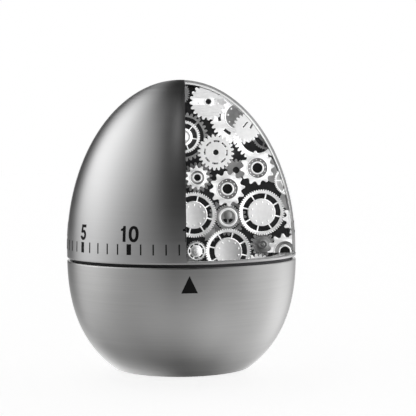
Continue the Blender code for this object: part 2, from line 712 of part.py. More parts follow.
def relief(shop, name, centre, outlines, layer, crop):
    """A fixed gear-shaped plate, cut off along the dome's inner outline."""
    back = layer + WHEEL_THICKNESS
    made = flat_facing_front(name, outlines, layer, back, shop.parts, shop.bright, centre)
    made = combine(as_mesh(made), "INTERSECT", crop)
    return largest_body(as_mesh(made), shop.bright)


def build_reliefs(shop):
    inside = egg_profile(WALL + RUNNING_GAP, 14)
    inside += [(BODY_RADIUS - WALL - 0.6, RELIEF_FLOOR_Z), (0.0, RELIEF_FLOOR_Z)]
    crop = mesh_tool(turned("dome_space", inside, shop.tools, None, 48))
    top = [gear_points(21, 4.96, 4.25, math.radians(13)), circle_points(0.75, 8)]
    relief(shop, "relief_top_gear", (7.34, 70.9), top, TRAIN_LAYER, crop)
    slotted = [gear_points(36, 7.4, 6.6, math.radians(2)), circle_points(0.6, 8)]
    slotted += slot_ring(4.75, 5.25, 6, 0.42, math.radians(3))
    relief(shop, "relief_slotted_gear", (15.2, 66.9), slotted, BACK_LAYER, crop)
    relief(shop, "relief_small_gear", (17.4, 63.9), [gear_points(22, 3.7, 3.1, 0.1)], TOP_LAYER, crop)
    hoop = [gear_points(32, 6.39, 5.6, 0.05), circle_points(4.4, 16)]
    relief(shop, "relief_ring_gear", (20.11, 61.66), hoop, FINE_LAYER, crop)
    corner = [coarse_gear_points(12, 4.65, math.radians(95))]
    relief(shop, "relief_corner_gear", (27.47, 31.3), corner, TOP_LAYER, crop)
    edge = [gear_points(50, 4.0, 3.7, 0.0)]
    relief(shop, "relief_edge_gear", (28.5, 49.95), edge, FINE_LAYER, crop)
    side = [coarse_gear_points(13, 4.75, math.radians(179))]
    relief(shop, "relief_side_gear", (31.6, 39.6), side, BACK_LAYER, crop)


# ---------------------------------------------------------------- power, escapement and bell

def build_spring(shop):
    """The open mainspring barrel round the drive arbor, with the spring coiled in it."""
    profile = [(8.3, -4.6), (8.3, -11.8), (7.7, -11.8), (7.7, -5.2), (1.1, -5.2), (1.1, -4.6)]
    lay_along_y(turned("mainspring_barrel", profile, shop.parts, shop.brass, 20), DRIVE_CENTRE)
    turns, steps = 4, 48
    inner, outer, half = 1.7, 7.1, 0.16
    rows = []
    for index in range(steps + 1):
        angle = turns * 2 * math.pi * index / steps
        rows.append((inner + (outer - inner) * index / steps, angle))
    far = [((r + half) * math.cos(a), (r + half) * math.sin(a)) for r, a in rows]
    near = [((r - half) * math.cos(a), (r - half) * math.sin(a)) for r, a in reversed(rows)]
    flat_facing_front("mainspring", [far + near], 5.6, 11.4, shop.parts, shop.steel, DRIVE_CENTRE)


def build_escapement(shop):
    """The escape wheel on its pinion, the pallet lever, and the balance with its hairspring."""
    pinion = (phased("escape", 10, TRAIN_MODULE), TRAIN_LAYER)
    back = [(ARBOR_RADIUS, 12.9), (ARBOR_RADIUS, 14.3)]
    made = arbor(shop, "escape_wheel", "escape", [(ARBOR_RADIUS, 0.7)], (pinion,), back, shop.steel)
    teeth = flat_facing_front("escape_teeth", [escape_points()], 7.0, 7.6, shop.tools, None, ESCAPE)
    combine(made, "UNION", mesh_tool(teeth))

    lever = [(-3.4, -2.6), (-3.1, -2.9), (-0.6, -0.7), (0.6, -0.7), (3.1, -2.9), (3.4, -2.6), (0.9, 0.6)]
    lever += [(0.6, 4.3), (0.25, 4.3), (0.25, 3.6), (-0.25, 3.6), (-0.25, 4.3), (-0.6, 4.3), (-0.9, 0.6)]
    staff = [(0.0, -3.2), (0.3, -3.2), (0.3, -14.2), (0.0, -14.2)]
    pallet = lay_along_y(turned("pallet_lever", staff, shop.parts, shop.steel, 8), PALLET)
    fork = flat_facing_front("pallet_fork", [lever], 7.0, 7.6, shop.tools, None, PALLET)
    combine(pallet, "UNION", mesh_tool(fork))

    staff = [(0.0, -3.2), (0.3, -3.2), (0.3, -8.0), (0.9, -8.0), (0.9, -9.6), (0.3, -9.6)]
    staff += [(0.3, -14.2), (0.0, -14.2)]
    balance = lay_along_y(turned("balance_wheel", staff, shop.parts, shop.brass, 8), BALANCE)
    rim = [circle_points(4.4, 20)] + slot_ring(1.3, 3.7, 3, 0.84, 0.0, 3)
    rim = flat_facing_front("balance_rim", rim, 8.4, 9.2, shop.tools, None, BALANCE)
    combine(balance, "UNION", mesh_tool(rim))

    curve = bpy.data.curves.new("hairspring", "CURVE")
    curve.dimensions = "3D"
    curve.bevel_depth = 0.09 * MM
    curve.bevel_resolution = 0
    curve.use_fill_caps = True
    spline = curve.splines.new("POLY")
    steps = 30
    spline.points.add(steps)
    for index, point in enumerate(spline.points):
        angle = 3 * 2 * math.pi * index / steps
        radius = 1.0 + 2.6 * index / steps
        x = BALANCE[0] + radius * math.cos(angle)
        z = BALANCE[1] + radius * math.sin(angle)
        point.co = (x * MM, 10.6 * MM, z * MM, 1.0)
    link("hairspring", curve, shop.parts, shop.steel)


def escape_points():
    """Fifteen raked teeth."""
    points = []
    for tooth in range(15):
        for share, radius in ((0.0, 3.1), (0.62, 4.1), (0.72, 4.1)):
            angle = (tooth + share) * 2 * math.pi / 15
            points.append((radius * math.cos(angle), radius * math.sin(angle)))
    return points


BELL_CENTRE = (-3.0, -12.0)
HAMMER_PIVOT = (9.9, -15.4)


def build_bell(shop):
    """The bell on its post in front of the movement, and the hammer beside it."""
    outside = [(0.9, 16.0), (5.0, 15.5), (7.4, 13.6), (8.0, 9.5)]
    inside = [(7.4, 9.5), (6.9, 13.2), (4.8, 14.9), (0.9, 15.4)]
    bell = turned("bell", outside + inside, shop.parts, shop.bright, 20)
    bell.location = (BELL_CENTRE[0] * MM, BELL_CENTRE[1] * MM, 0)
    post = [(0.0, 17.4), (1.4, 17.4), (1.4, 16.3), (0.6, 16.3), (0.6, 15.1), (1.4, 15.1)]
    post += [(1.4, 7.5), (0.0, 7.5)]
    bell_post = turned("bell_post", post, shop.parts, shop.steel, 10)
    bell_post.location = bell.location

    x, y = HAMMER_PIVOT
    shaft = [(0.0, 14.0), (0.6, 14.0), (0.6, 7.4), (0.0, 7.4)]
    pin = turned("hammer_post", shaft, shop.parts, shop.steel, 8)
    pin.location = (x * MM, y * MM, 0)
    arm = [(1.4, -0.4), (1.3, 0.7), (0.0, 1.4), (-1.3, 0.5), (-3.2, -0.6)]
    arm += [(-3.6, 0.9), (-5.2, 0.6), (-5.2, -2.2), (-3.6, -2.0), (-0.4, -1.4), (0.7, -1.4)]
    hammer = flat("hammer", [arm, circle_points(0.7, 8)], 1.6, shop.parts, shop.steel)
    hammer.location = (x * MM, y * MM, 12.0 * MM)


def main():
    clear_scene()
    shop = Shop()
    upper_shell(shop)
    carrier_ring(shop)
    lower_shell(shop)
    bearing_ring(shop)
    base_cover(shop)
    base_screws(shop)
    foot_ring(shop)
    chassis(shop)
    main_plate(shop)
    rear_bridge(shop)
    bridge_pillars(shop)
    build_drive(shop)
    build_fine_train(shop)
    build_upper_train(shop)
    build_reliefs(shop)
    build_spring(shop)
    build_escapement(shop)
    build_bell(shop)


main()
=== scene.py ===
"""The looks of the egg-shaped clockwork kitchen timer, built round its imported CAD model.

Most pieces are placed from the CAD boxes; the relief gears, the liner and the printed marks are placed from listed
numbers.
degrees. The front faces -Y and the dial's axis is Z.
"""

import math

import bmesh
import bpy
from mathutils import Matrix, Vector


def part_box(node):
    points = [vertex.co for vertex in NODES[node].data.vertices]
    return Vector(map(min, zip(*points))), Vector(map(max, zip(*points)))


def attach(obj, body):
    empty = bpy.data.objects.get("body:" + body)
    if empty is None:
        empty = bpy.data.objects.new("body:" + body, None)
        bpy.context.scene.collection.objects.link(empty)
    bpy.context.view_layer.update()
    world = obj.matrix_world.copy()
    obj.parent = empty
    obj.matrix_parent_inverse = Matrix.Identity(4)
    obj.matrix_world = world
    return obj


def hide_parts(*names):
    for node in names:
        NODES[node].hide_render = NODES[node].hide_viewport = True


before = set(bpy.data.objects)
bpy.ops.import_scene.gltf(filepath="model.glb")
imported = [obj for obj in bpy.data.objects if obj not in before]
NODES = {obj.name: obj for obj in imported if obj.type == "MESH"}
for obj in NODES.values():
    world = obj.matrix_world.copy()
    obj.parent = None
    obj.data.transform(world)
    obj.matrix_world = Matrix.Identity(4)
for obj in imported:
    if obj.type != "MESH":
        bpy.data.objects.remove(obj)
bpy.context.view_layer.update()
MM = 0.001

# ---------------------------------------------------------------- the egg's outline

RADIUS = 30.0
EQUATOR = 32.6
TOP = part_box("upper_shell")[1].z / MM
WALL = 1.1
LOWER_WALL = 0.80
DIAL_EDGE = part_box("upper_shell")[0].z / MM
BASE_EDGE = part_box("lower_shell")[1].z / MM
BAND_TOP = DIAL_EDGE + 0.6
WINDOW_X = 1.15
RELIEF_FLOOR = DIAL_EDGE + 0.6


def upper_radius(z, shrink=0.0):
    share = min(1.0, max(-1.0, (z - EQUATOR) / (TOP - EQUATOR - shrink)))
    return (RADIUS - shrink) * math.sqrt(max(0.0, 1 - share * share))


def lower_radius(z, shrink=0.0):
    share = ((EQUATOR - z) / 37.0) ** 2.6
    return RADIUS * math.sqrt(1 - share) - shrink


def shell_radius(z):
    return upper_radius(z) if z >= EQUATOR else lower_radius(z)


def dome_profile(shrink, steps):
    rows = []
    for i in range(steps + 1):
        turn = math.pi / 2 * i / steps
        rows.append(((RADIUS - shrink) * math.sin(turn), EQUATOR + (TOP - EQUATOR - shrink) * math.cos(turn)))
    return rows


def inner_profile(clearance, steps):
    """The inside of the dome, whose wall thins from the crown towards the lower edge."""
    rows = []
    for i in range(steps + 1):
        turn = math.pi / 2 * i / steps
        share = min(1.0, max(0.0, (math.degrees(turn) - 45) / 35))
        shrink = WALL - (WALL - LOWER_WALL) * share + clearance
        rows.append(((RADIUS - shrink) * math.sin(turn), EQUATOR + (TOP - EQUATOR - shrink) * math.cos(turn)))
    return rows


# ---------------------------------------------------------------- mesh helpers

def link(name, mesh):
    made = bpy.data.objects.new(name, mesh)
    bpy.context.scene.collection.objects.link(made)
    return made


def from_bmesh(name, bm):
    bmesh.ops.recalc_face_normals(bm, faces=bm.faces)
    mesh = bpy.data.meshes.new(name)
    bm.to_mesh(mesh)
    bm.free()
    return mesh


def smooth(made, angle=35):
    made.data.shade_smooth()
    made.data.set_sharp_from_angle(angle=math.radians(angle))
    return made


def revolve(profile, steps=96, axis="z", centre=(0.0, 0.0)):
    """A bmesh turned about an axis: profile is (radius, height) in mm, and a radius of 0 is on the axis.

    About "z", centre is (x, y) and height is Z. About "y", centre is (x, z) and height is Y.
    """
    bm = bmesh.new()

    def place(radius, height, turn):
        a = centre[0] + radius * math.cos(turn)
        b = centre[1] + radius * math.sin(turn)
        return (a * MM, b * MM, height * MM) if axis == "z" else (a * MM, height * MM, b * MM)

    rings = []
    for radius, height in profile:
        if radius < 1e-6:
            rings.append([bm.verts.new(place(0.0, height, 0.0))])
        else:
            rings.append([bm.verts.new(place(radius, height, 2 * math.pi * i / steps)) for i in range(steps)])
    pairs = list(zip(rings, rings[1:]))
    if len(rings[0]) > 1 and len(rings[-1]) > 1:
        pairs.append((rings[-1], rings[0]))
    for first, second in pairs:
        for i in range(steps):
            j = (i + 1) % steps
            if len(first) == 1 and len(second) == 1:
                continue
            if len(first) == 1:
                bm.faces.new((first[0], second[i], second[j]))
            elif len(second) == 1:
                bm.faces.new((first[i], second[0], first[j]))
            else:
                bm.faces.new((first[i], second[i], second[j], first[j]))
    return bm


def turned(name, profile, steps=96, axis="z", centre=(0.0, 0.0), angle=35):
    return smooth(link(name, from_bmesh(name, revolve(profile, steps, axis, centre))), angle)


def evaluated_mesh(made):
    bpy.context.view_layer.update()
    graph = bpy.context.evaluated_depsgraph_get()
    return bpy.data.meshes.new_from_object(made.evaluated_get(graph))


def apply_all(made):
    """Applies an object's modifiers to its mesh."""
    mesh = evaluated_mesh(made)
    made.modifiers.clear()
    made.data = mesh
    return made


def remove(made):
    bpy.data.objects.remove(made)


def boolean(made, operation, tool, keep_tool=False):
    step = made.modifiers.new("cut", "BOOLEAN")
    step.operation = operation
    step.object = tool
    step.solver = "EXACT"
    apply_all(made)
    if not keep_tool:
        remove(tool)
    return made


def block(name, low, high):
    bm = bmesh.new()
    bmesh.ops.create_cube(bm, size=1.0)
    for corner in bm.verts:
        for axis in range(3):
            middle = (low[axis] + high[axis]) / 2
            corner.co[axis] = (middle + corner.co[axis] * (high[axis] - low[axis])) * MM
    return link(name, from_bmesh(name, bm))


def merge(name, pieces):
    """One object from several."""
    bm = bmesh.new()
    for piece in pieces:
        mesh = evaluated_mesh(piece)
        mesh.transform(piece.matrix_world)
        bm.from_mesh(mesh)
        bpy.data.meshes.remove(mesh)
        remove(piece)
    mesh = bpy.data.meshes.new(name)
    bm.to_mesh(mesh)
    bm.free()
    return link(name, mesh)


def ring_points(radius, sides, centre=(0.0, 0.0), start=0.0):
    turns = [start + 2 * math.pi * i / sides for i in range(sides)]
    return [(centre[0] + radius * math.cos(t), centre[1] + radius * math.sin(t)) for t in turns]


def gear_points(teeth, tip, root, phase, root_share=0.34, tip_share=0.12):
    """A gear's outline with teeth that round off at the tip and at the root."""
    pitch = 2 * math.pi / teeth
    depth = tip - root
    corners = [(-0.5, root), (-root_share, root + 0.04 * depth)]
    corners += [(-(root_share + tip_share) / 2 - 0.03, root + 0.62 * depth)]
    corners += [(-tip_share, root + 0.93 * depth), (-tip_share * 0.4, tip), (tip_share * 0.4, tip)]
    corners += [(tip_share, root + 0.93 * depth)]
    corners += [((root_share + tip_share) / 2 + 0.03, root + 0.62 * depth), (root_share, root + 0.04 * depth)]
    points = []
    for tooth in range(teeth):
        for share, radius in corners:
            angle = phase + (tooth + share) * pitch
            points.append((radius * math.cos(angle), radius * math.sin(angle)))
    return points


def arc_slot(inner, outer, middle, width, steps=8):
    """A slot between two radii: width is its angle in radians."""
    turns = [middle - width / 2 + width * i / steps for i in range(steps + 1)]
    far = [(outer * math.cos(t), outer * math.sin(t)) for t in turns]
    near = [(inner * math.cos(t), inner * math.sin(t)) for t in reversed(turns)]
    return far + near


def parallel_slot(inner, outer, middle, pitch, spoke, steps=8):
    """A slot between two spokes of equal width all along: spoke is their width in mm."""
    def half(radius):
        return pitch / 2 - math.asin(spoke / 2 / radius)

    far = [middle - half(outer) + 2 * half(outer) * i / steps for i in range(steps + 1)]
    near = [middle + half(inner) - 2 * half(inner) * i / steps for i in range(steps + 1)]
    points = [(outer * math.cos(t), outer * math.sin(t)) for t in far]
    return points + [(inner * math.cos(t), inner * math.sin(t)) for t in near]


def plate(name, outlines, front, back, centre=(0.0, 0.0), bevel=0.04):
    """A flat piece that faces the front, between two Y values, with fine bevelled edges."""
    curve = bpy.data.curves.new(name, "CURVE")
    curve.dimensions = "2D"
    curve.fill_mode = "BOTH"
    curve.extrude = ((back - front) / 2 - bevel) * MM
    curve.bevel_depth = bevel * MM
    curve.bevel_resolution = 0
    curve.offset = -bevel * MM
    for outline in outlines:
        spline = curve.splines.new("POLY")
        spline.points.add(len(outline) - 1)
        for point, (x, y) in zip(spline.points, outline):
            point.co = (x * MM, y * MM, 0.0, 1.0)
        spline.use_cyclic_u = True
    drawn = link(name + "_drawing", curve)
    mesh = evaluated_mesh(drawn)
    remove(drawn)
    turn = Matrix.Rotation(math.radians(90), 4, "X")
    mesh.transform(Matrix.Translation((centre[0] * MM, (front + back) / 2 * MM, centre[1] * MM)) @ turn)
    bm = bmesh.new()
    bm.from_mesh(mesh)
    bpy.data.meshes.remove(mesh)
    bmesh.ops.remove_doubles(bm, verts=bm.verts, dist=0.0000005)
    return smooth(link(name, from_bmesh(name, bm)), 30)


def layer_plate(name, outlines, layer, centre, bevel=0.05):
    """A wheel's plate, one wheel thick, with its front in the given layer."""
    return plate(name, outlines, layer, layer + THICK, centre, bevel)


def dots(name, count, ring, size, front, centre, start=0.0, height=0.09):
    """Small domed rivets in a ring on a face at Y = front."""
    made = []
    for i in range(count):
        turn = start + 2 * math.pi * i / count
        at = (centre[0] + ring * math.cos(turn), centre[1] + ring * math.sin(turn))
        profile = [(0.0, front - height), (size * 0.6, front - height * 0.8)]
        profile += [(size, front), (size, front + 0.03), (0.0, front + 0.03)]
        made.append(turned(f"{name}_{i}", profile, 10, "y", at, 50))
    return made


# ---------------------------------------------------------------- materials

class Nodes:
    """A short way to write a node tree."""

    def __init__(self, name):
        self.material = bpy.data.materials.new(name)
        self.material.use_nodes = True
        self.tree = self.material.node_tree
        self.shader = self.tree.nodes["Principled BSDF"]

    def add(self, kind, inputs=(), **fields):
        node = self.tree.nodes.new(kind)
        for key, value in fields.items():
            setattr(node, key, value)
        for key, value in dict(inputs).items():
            if hasattr(value, "is_output"):
                self.tree.links.new(value, node.inputs[key])
            else:
                node.inputs[key].default_value = value
        return node

    def wire(self, output, name):
        self.tree.links.new(output, self.shader.inputs[name])

    def position(self, scale=(1.0, 1.0, 1.0)):
        coordinates = self.add("ShaderNodeTexCoord")
        return self.add("ShaderNodeMapping", {"Vector": coordinates.outputs["Object"], "Scale": scale}).outputs[0]

    def noise(self, vector, scale, detail=3.0, roughness=0.5):
        made = self.add("ShaderNodeTexNoise", {"Vector": vector, "Scale": scale, "Detail": detail, "Roughness": roughness})
        return made.outputs["Fac"]

    def ramp(self, factor, stops):
        made = self.add("ShaderNodeValToRGB", {"Fac": factor})
        elements = made.color_ramp.elements
        while len(elements) < len(stops):
            elements.new(0.5)
        for element, (place, colour) in zip(elements, stops):
            element.position = place
            value = colour if isinstance(colour, tuple) else (colour, colour, colour)
            element.color = (*value, 1.0)
        return made.outputs["Color"]

    def mix(self, factor, a, b, blend="MIX"):
        made = self.add("ShaderNodeMix", data_type="RGBA", blend_type=blend)
        for index, value in ((0, factor), (6, a), (7, b)):
            if hasattr(value, "is_output"):
                self.tree.links.new(value, made.inputs[index])
            elif isinstance(value, tuple):
                made.inputs[index].default_value = (*value, 1.0)
            else:
                made.inputs[index].default_value = value
        return made.outputs[2]

    def math(self, operation, a, b=0.0):
        made = self.add("ShaderNodeMath", operation=operation)
        for index, value in ((0, a), (1, b)):
            if hasattr(value, "is_output"):
                self.tree.links.new(value, made.inputs[index])
            else:
                made.inputs[index].default_value = value
        return made.outputs[0]

    def bump(self, height, strength, distance):
        made = self.add("ShaderNodeBump", {"Height": height, "Strength": strength, "Distance": distance})
        self.wire(made.outputs[0], "Normal")

    def fixed(self, **values):
        for key, value in values.items():
            self.shader.inputs[key.replace("_", " ")].default_value = value


def brushed_shell(name, colour, rough, grain=1.0, anisotropic=0.55):
    """Spun and brushed stainless steel: fine rings round the axis, with longer scratches among them."""
    made = Nodes(name)
    fine = made.noise(made.position((60, 60, 9000)), 1.0, 4.0, 0.6)
    coarse = made.noise(made.position((25, 25, 1500)), 1.0, 3.0, 0.5)
    cloud = made.noise(made.position((1, 1, 1)), 55.0, 3.0)
    grains = made.math("ADD", made.math("MULTIPLY", fine, 0.6), made.math("MULTIPLY", coarse, 0.4))
    low = tuple(c * (1 - 0.13 * grain) for c in colour)
    high = tuple(min(1.0, c * (1 + 0.13 * grain)) for c in colour)
    base = made.ramp(grains, [(0.25, low), (0.75, high)])
    base = made.mix(0.25, base, made.ramp(cloud, [(0.3, low), (0.7, high)]))
    made.wire(base, "Base Color")
    spread = made.ramp(grains, [(0.2, rough - 0.05), (0.8, rough + 0.07)])
    made.wire(spread, "Roughness")
    made.bump(grains, 0.12 * grain, 0.00006)
    made.fixed(Metallic=1.0, Anisotropic=anisotropic, Anisotropic_Rotation=0.25)
    tangent = made.add("ShaderNodeTangent", direction_type="RADIAL", axis="Z")
    made.wire(tangent.outputs[0], "Tangent")
    return made.material


def satin_metal(name, colour, rough, metallic=1.0, wear=0.15, scale=900.0, bump=0.25):
    """Cast or stamped metal with fine mottling and a few scratches."""
    made = Nodes(name)
    mottle = made.noise(made.position(), scale, 4.0, 0.6)
    patch = made.noise(made.position(), scale * 0.16, 3.0)
    scratch = made.noise(made.position((400, 60, 4000)), 1.0, 3.0)
    low = tuple(c * (1 - wear) for c in colour)
    high = tuple(min(1.0, c * (1 + wear * 0.6)) for c in colour)
    base = made.ramp(mottle, [(0.3, low), (0.7, high)])
    base = made.mix(0.4, base, made.ramp(patch, [(0.35, low), (0.65, high)]))
    made.wire(base, "Base Color")
    made.wire(made.ramp(made.math("MULTIPLY", made.math("ADD", patch, scratch), 0.5), [(0.3, max(0.05, rough - 0.08)), (0.7, rough + 0.1)]), "Roughness")
    made.bump(mottle, bump, 0.00002)
    made.fixed(Metallic=metallic)
    return made.material


def moulded(name, colour, rough, bump=0.2, scale=1500.0):
    """Moulded plastic or rubber with a fine spark-eroded grain."""
    made = Nodes(name)
    grain = made.noise(made.position(), scale, 3.0)
    cloud = made.noise(made.position(), 120.0, 2.0)
    low = tuple(c * 0.75 for c in colour)
    high = tuple(c * 1.3 for c in colour)
    base = made.mix(0.5, made.ramp(grain, [(0.3, low), (0.7, high)]), made.ramp(cloud, [(0.3, low), (0.7, high)]))
    made.wire(base, "Base Color")
    made.wire(made.ramp(cloud, [(0.3, rough - 0.06), (0.7, rough + 0.06)]), "Roughness")
    made.bump(grain, bump, 0.00003)
    return made.material


STEEL = brushed_shell("dial_brushed_steel", (0.55, 0.55, 0.552), 0.33, 0.4, 0.8)
CUP_STEEL = brushed_shell("cup_brushed_steel", (0.55, 0.548, 0.545), 0.36, 0.9, 0.8)
EDGE_STEEL = satin_metal("cut_steel_edge", (0.34, 0.34, 0.34), 0.45, 0.2)
LINER = satin_metal("polished_liner", (0.90, 0.90, 0.90), 0.45, 0.1, 0.04)
BRIGHT = satin_metal("bright_wheel_steel", (0.93, 0.93, 0.93), 0.45, 0.03, 0.10)
BRIGHT_DISC = satin_metal("polished_disc_steel", (0.93, 0.93, 0.93), 0.40, 0.03, 0.08)
# Painted shade: this darker copy of the wheel steel stands for the shade on wheels that lie behind the front layer.
SHADED_STEEL = satin_metal("painted_shade_wheel_steel", (0.30, 0.30, 0.30), 0.42, 0.6, 0.25)
# Grey steel is the plain finish of hidden parts, and also painted shade on visible wheels and discs deep in the
# movement, a darker copy of the wheel steel.
GREY = satin_metal("grey_steel", (0.50, 0.50, 0.50), 0.40, 0.6, 0.2)
BRASS = satin_metal("satin_brass", (0.72, 0.54, 0.26), 0.32, 1.0, 0.12)
BLACK = moulded("black_moulding", (0.018, 0.018, 0.019), 0.55)
# Painted shade: a near-black used on bores, arbor stubs, backing discs and floors seen through slots, where it stands
# for the dark inside holes.
BORE_SHADE = moulded("dark_bore", (0.012, 0.012, 0.012), 0.7)
PLATE = satin_metal("blackened_plate", (0.022, 0.022, 0.023), 0.55, 0.2, 0.35, 500.0)
# Painted shade: the hubs' dished grooves get this darker, non-metallic copy of the wheel steel, standing for the shade
# in the groove.
GROOVE_SHADE = satin_metal("groove_painted_shade", (0.15, 0.15, 0.15), 0.5, 0.0, 0.2)
RUBBER = moulded("foot_rubber", (0.022, 0.022, 0.022), 0.8, 0.5, 900.0)
PRINT = moulded("printed_ink", (0.003, 0.003, 0.003), 0.65, 0.05)
PRINT.node_tree.nodes["Principled BSDF"].inputs["Specular IOR Level"].default_value = 0.15


def finish_piece(made, material, body, slot_name, *replaced):
    made.data.materials.clear()
    made.data.materials.append(material)
    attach(made, body)
    if replaced:
        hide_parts(*replaced)
    return made


def paint_faces(made, material, test):
    """Gives a second material to the faces that pass a test of (centre, normal), both in mm."""
    made.data.materials.append(material)
    index = len(made.data.materials) - 1
    for face in made.data.polygons:
        if test(face.center / MM, face.normal):
            face.material_index = index


# ---------------------------------------------------------------- the shells

def build_dial():
    outside = dome_profile(0.0, 72)
    edge = [(lower_radius(DIAL_EDGE + 1.2), DIAL_EDGE + 1.2), (lower_radius(DIAL_EDGE + 0.5), DIAL_EDGE + 0.5)]
    corner = lower_radius(DIAL_EDGE + 0.25)
    for step in range(1, 6):
        turn = math.pi / 2 * step / 5
        edge.append((corner - 0.25 + 0.25 * math.cos(turn), DIAL_EDGE + 0.25 - 0.25 * math.sin(turn)))
    edge += [(27.3, DIAL_EDGE), (27.3, DIAL_EDGE + 0.5), (lower_radius(DIAL_EDGE + 0.5, LOWER_WALL), DIAL_EDGE + 0.5)]
    inside = list(reversed(inner_profile(0.0, 60)))
    dome = turned("dial_dome", outside + edge + inside, 256)
    boolean(dome, "DIFFERENCE", block("window", (WINDOW_X, -40, BAND_TOP), (40, 0, 90)))
    smooth(dome, 30)
    bevel = dome.modifiers.new("edge", "BEVEL")
    bevel.width = 0.10 * MM
    bevel.segments = 2
    bevel.limit_method = "ANGLE"
    bevel.angle_limit = math.radians(50)
    apply_all(dome)
    finish_piece(dome, STEEL, "dial", "brushed_steel", "upper_shell")

    def cut_edge(centre, normal):
        return abs(centre.y) < 0.15 and normal.y < -0.5 and centre.x > WINDOW_X

    paint_faces(dome, EDGE_STEEL, cut_edge)
    paint_faces(dome, EDGE_STEEL, lambda p, n: n.z > 0.9 and abs(p.z - DIAL_EDGE - 0.5) < 0.05)
    build_liner()
    return dome


def build_liner():
    """The bright inner lip on the window's curved edge, which thins out towards the lower edge."""
    outer, inner = [], []
    steps = 60
    for i in range(steps + 1):
        turn = math.radians(2.6 + 79.4 * i / steps)
        width = 0.42 * min(1.0, (1 - i / steps) * 2.0) + 0.02
        for rows, shrink in ((outer, 0.60), (inner, 0.60 + width)):
            rows.append(((RADIUS - shrink) * math.sin(turn), EQUATOR + (TOP - EQUATOR - shrink) * math.cos(turn)))
    liner = plate("window_liner", [outer + inner[::-1]], -0.10, 0.35, (0.0, 0.0), 0.01)
    finish_piece(liner, LINER, "dial", "brushed_steel")


def build_cup():
    heights = [BASE_EDGE - 0.45 - i * 0.5 for i in range(60)]
    outside = []
    rim = lower_radius(BASE_EDGE - 0.3) - 0.38
    for step in range(7):
        turn = math.pi * step / 6
        outside.append((rim - 0.38 * math.cos(turn), BASE_EDGE - 0.3 + 0.3 * math.sin(turn)))
    outside += [(lower_radius(z), z) for z in heights if z > 1.7]
    floor = cup_floor()
    inside = [(8.5, 2.2), (16.0, 2.5), (lower_radius(5.8, 1.5), 6.2)]
    inside += [(lower_radius(z, WALL), z) for z in (9.8, 13.5, 17.5, 21.5, 25.0)]
    cup = turned("base_cup", outside + floor + inside, 256)
    return finish_piece(cup, CUP_STEEL, "movement", "brushed_steel", "lower_shell")


def cup_floor():
    """The rounded heel of the cup and the recess of its floor, ending at the hole."""
    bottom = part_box("lower_shell")[0].z / MM
    start, end = (lower_radius(1.6), 1.6), (13.0, bottom)
    rows = []
    for i in range(9):
        turn = math.pi / 2 * i / 8
        rows.append((end[0] + (start[0] - end[0]) * math.cos(turn), start[1] - (start[1] - end[1]) * math.sin(turn)))
    return rows + [(10.6, bottom), (10.6, 1.1), (8.5, 1.1)]


def build_gap_ring():
    top, lip = BASE_EDGE + 0.45, BASE_EDGE + 0.25
    profile = [(27.4, top), (28.9, top), (29.0, top - 0.07), (29.0, lip), (28.45, lip), (28.45, 27.2), (27.4, 27.2)]
    ring = turned("gap_ring", profile, 160)
    finish_piece(ring, BLACK, "movement", "black_plate", "bearing_ring")


# ---------------------------------------------------------------- the printed scale

def wrap(made, azimuth, lift=0.03, sink=0.08):
    """Wraps a flat mesh (x along the shell, y as height, in mm) onto the shell, as a thin raised film."""
    bm = bmesh.new()
    bm.from_mesh(made.data)
    bmesh.ops.remove_doubles(bm, verts=bm.verts, dist=0.0005)
    width = max(abs(v.co.x) for v in bm.verts)
    low = min(v.co.y for v in bm.verts)
    high = max(v.co.y for v in bm.verts)
    cuts = [(Vector((-width + 0.45 * i, 0, 0)), Vector((1, 0, 0))) for i in range(1, int(2 * width / 0.45) + 1)]
    cuts += [(Vector((0, low + 0.6 * i, 0)), Vector((0, 1, 0))) for i in range(1, int((high - low) / 0.6) + 1)]
    for point, normal in cuts:
        geometry = list(bm.verts) + list(bm.edges) + list(bm.faces)
        bmesh.ops.bisect_plane(bm, geom=geometry, plane_co=point, plane_no=normal)
    bm.normal_update()
    for vert in bm.verts:
        turn = math.radians(azimuth) + vert.co.x / 29.9
        height = vert.co.y
        radius = shell_radius(height) + lift
        vert.co = Vector((radius * math.sin(turn), -radius * math.cos(turn), height)) * MM
    for face in bm.faces:
        outward = Vector((face.calc_center_median().x, face.calc_center_median().y, 0))
        if face.normal.dot(outward) < 0:
            face.normal_flip()
    bm.normal_update()
    bm.to_mesh(made.data)
    bm.free()
    film = made.modifiers.new("film", "SOLIDIFY")
    film.thickness = (lift + sink) * MM
    film.offset = -1
    return apply_all(made)


def flat_polygon(name, outline):
    bm = bmesh.new()
    bm.faces.new([bm.verts.new((x, y, 0)) for x, y in outline])
    mesh = bpy.data.meshes.new(name)
    bm.to_mesh(mesh)
    bm.free()
    return link(name, mesh)


def oval(centre, size, start, end, steps=20):
    """Points along an oval arc: size is its two half axes in mm, and the angles are degrees."""
    turns = [math.radians(start + (end - start) * i / steps) for i in range(steps + 1)]
    return [(centre[0] + size[0] * math.cos(t), centre[1] + size[1] * math.sin(t)) for t in turns]


def squarish(centre, size, power, steps=40):
    """A closed oval with fuller corners than an ellipse."""
    points = []
    for i in range(steps):
        turn = 2 * math.pi * i / steps
        x = math.copysign(abs(math.cos(turn)) ** (2 / power), math.cos(turn))
        y = math.copysign(abs(math.sin(turn)) ** (2 / power), math.sin(turn))
        points.append((centre[0] + size[0] * x, centre[1] + size[1] * y))
    return points


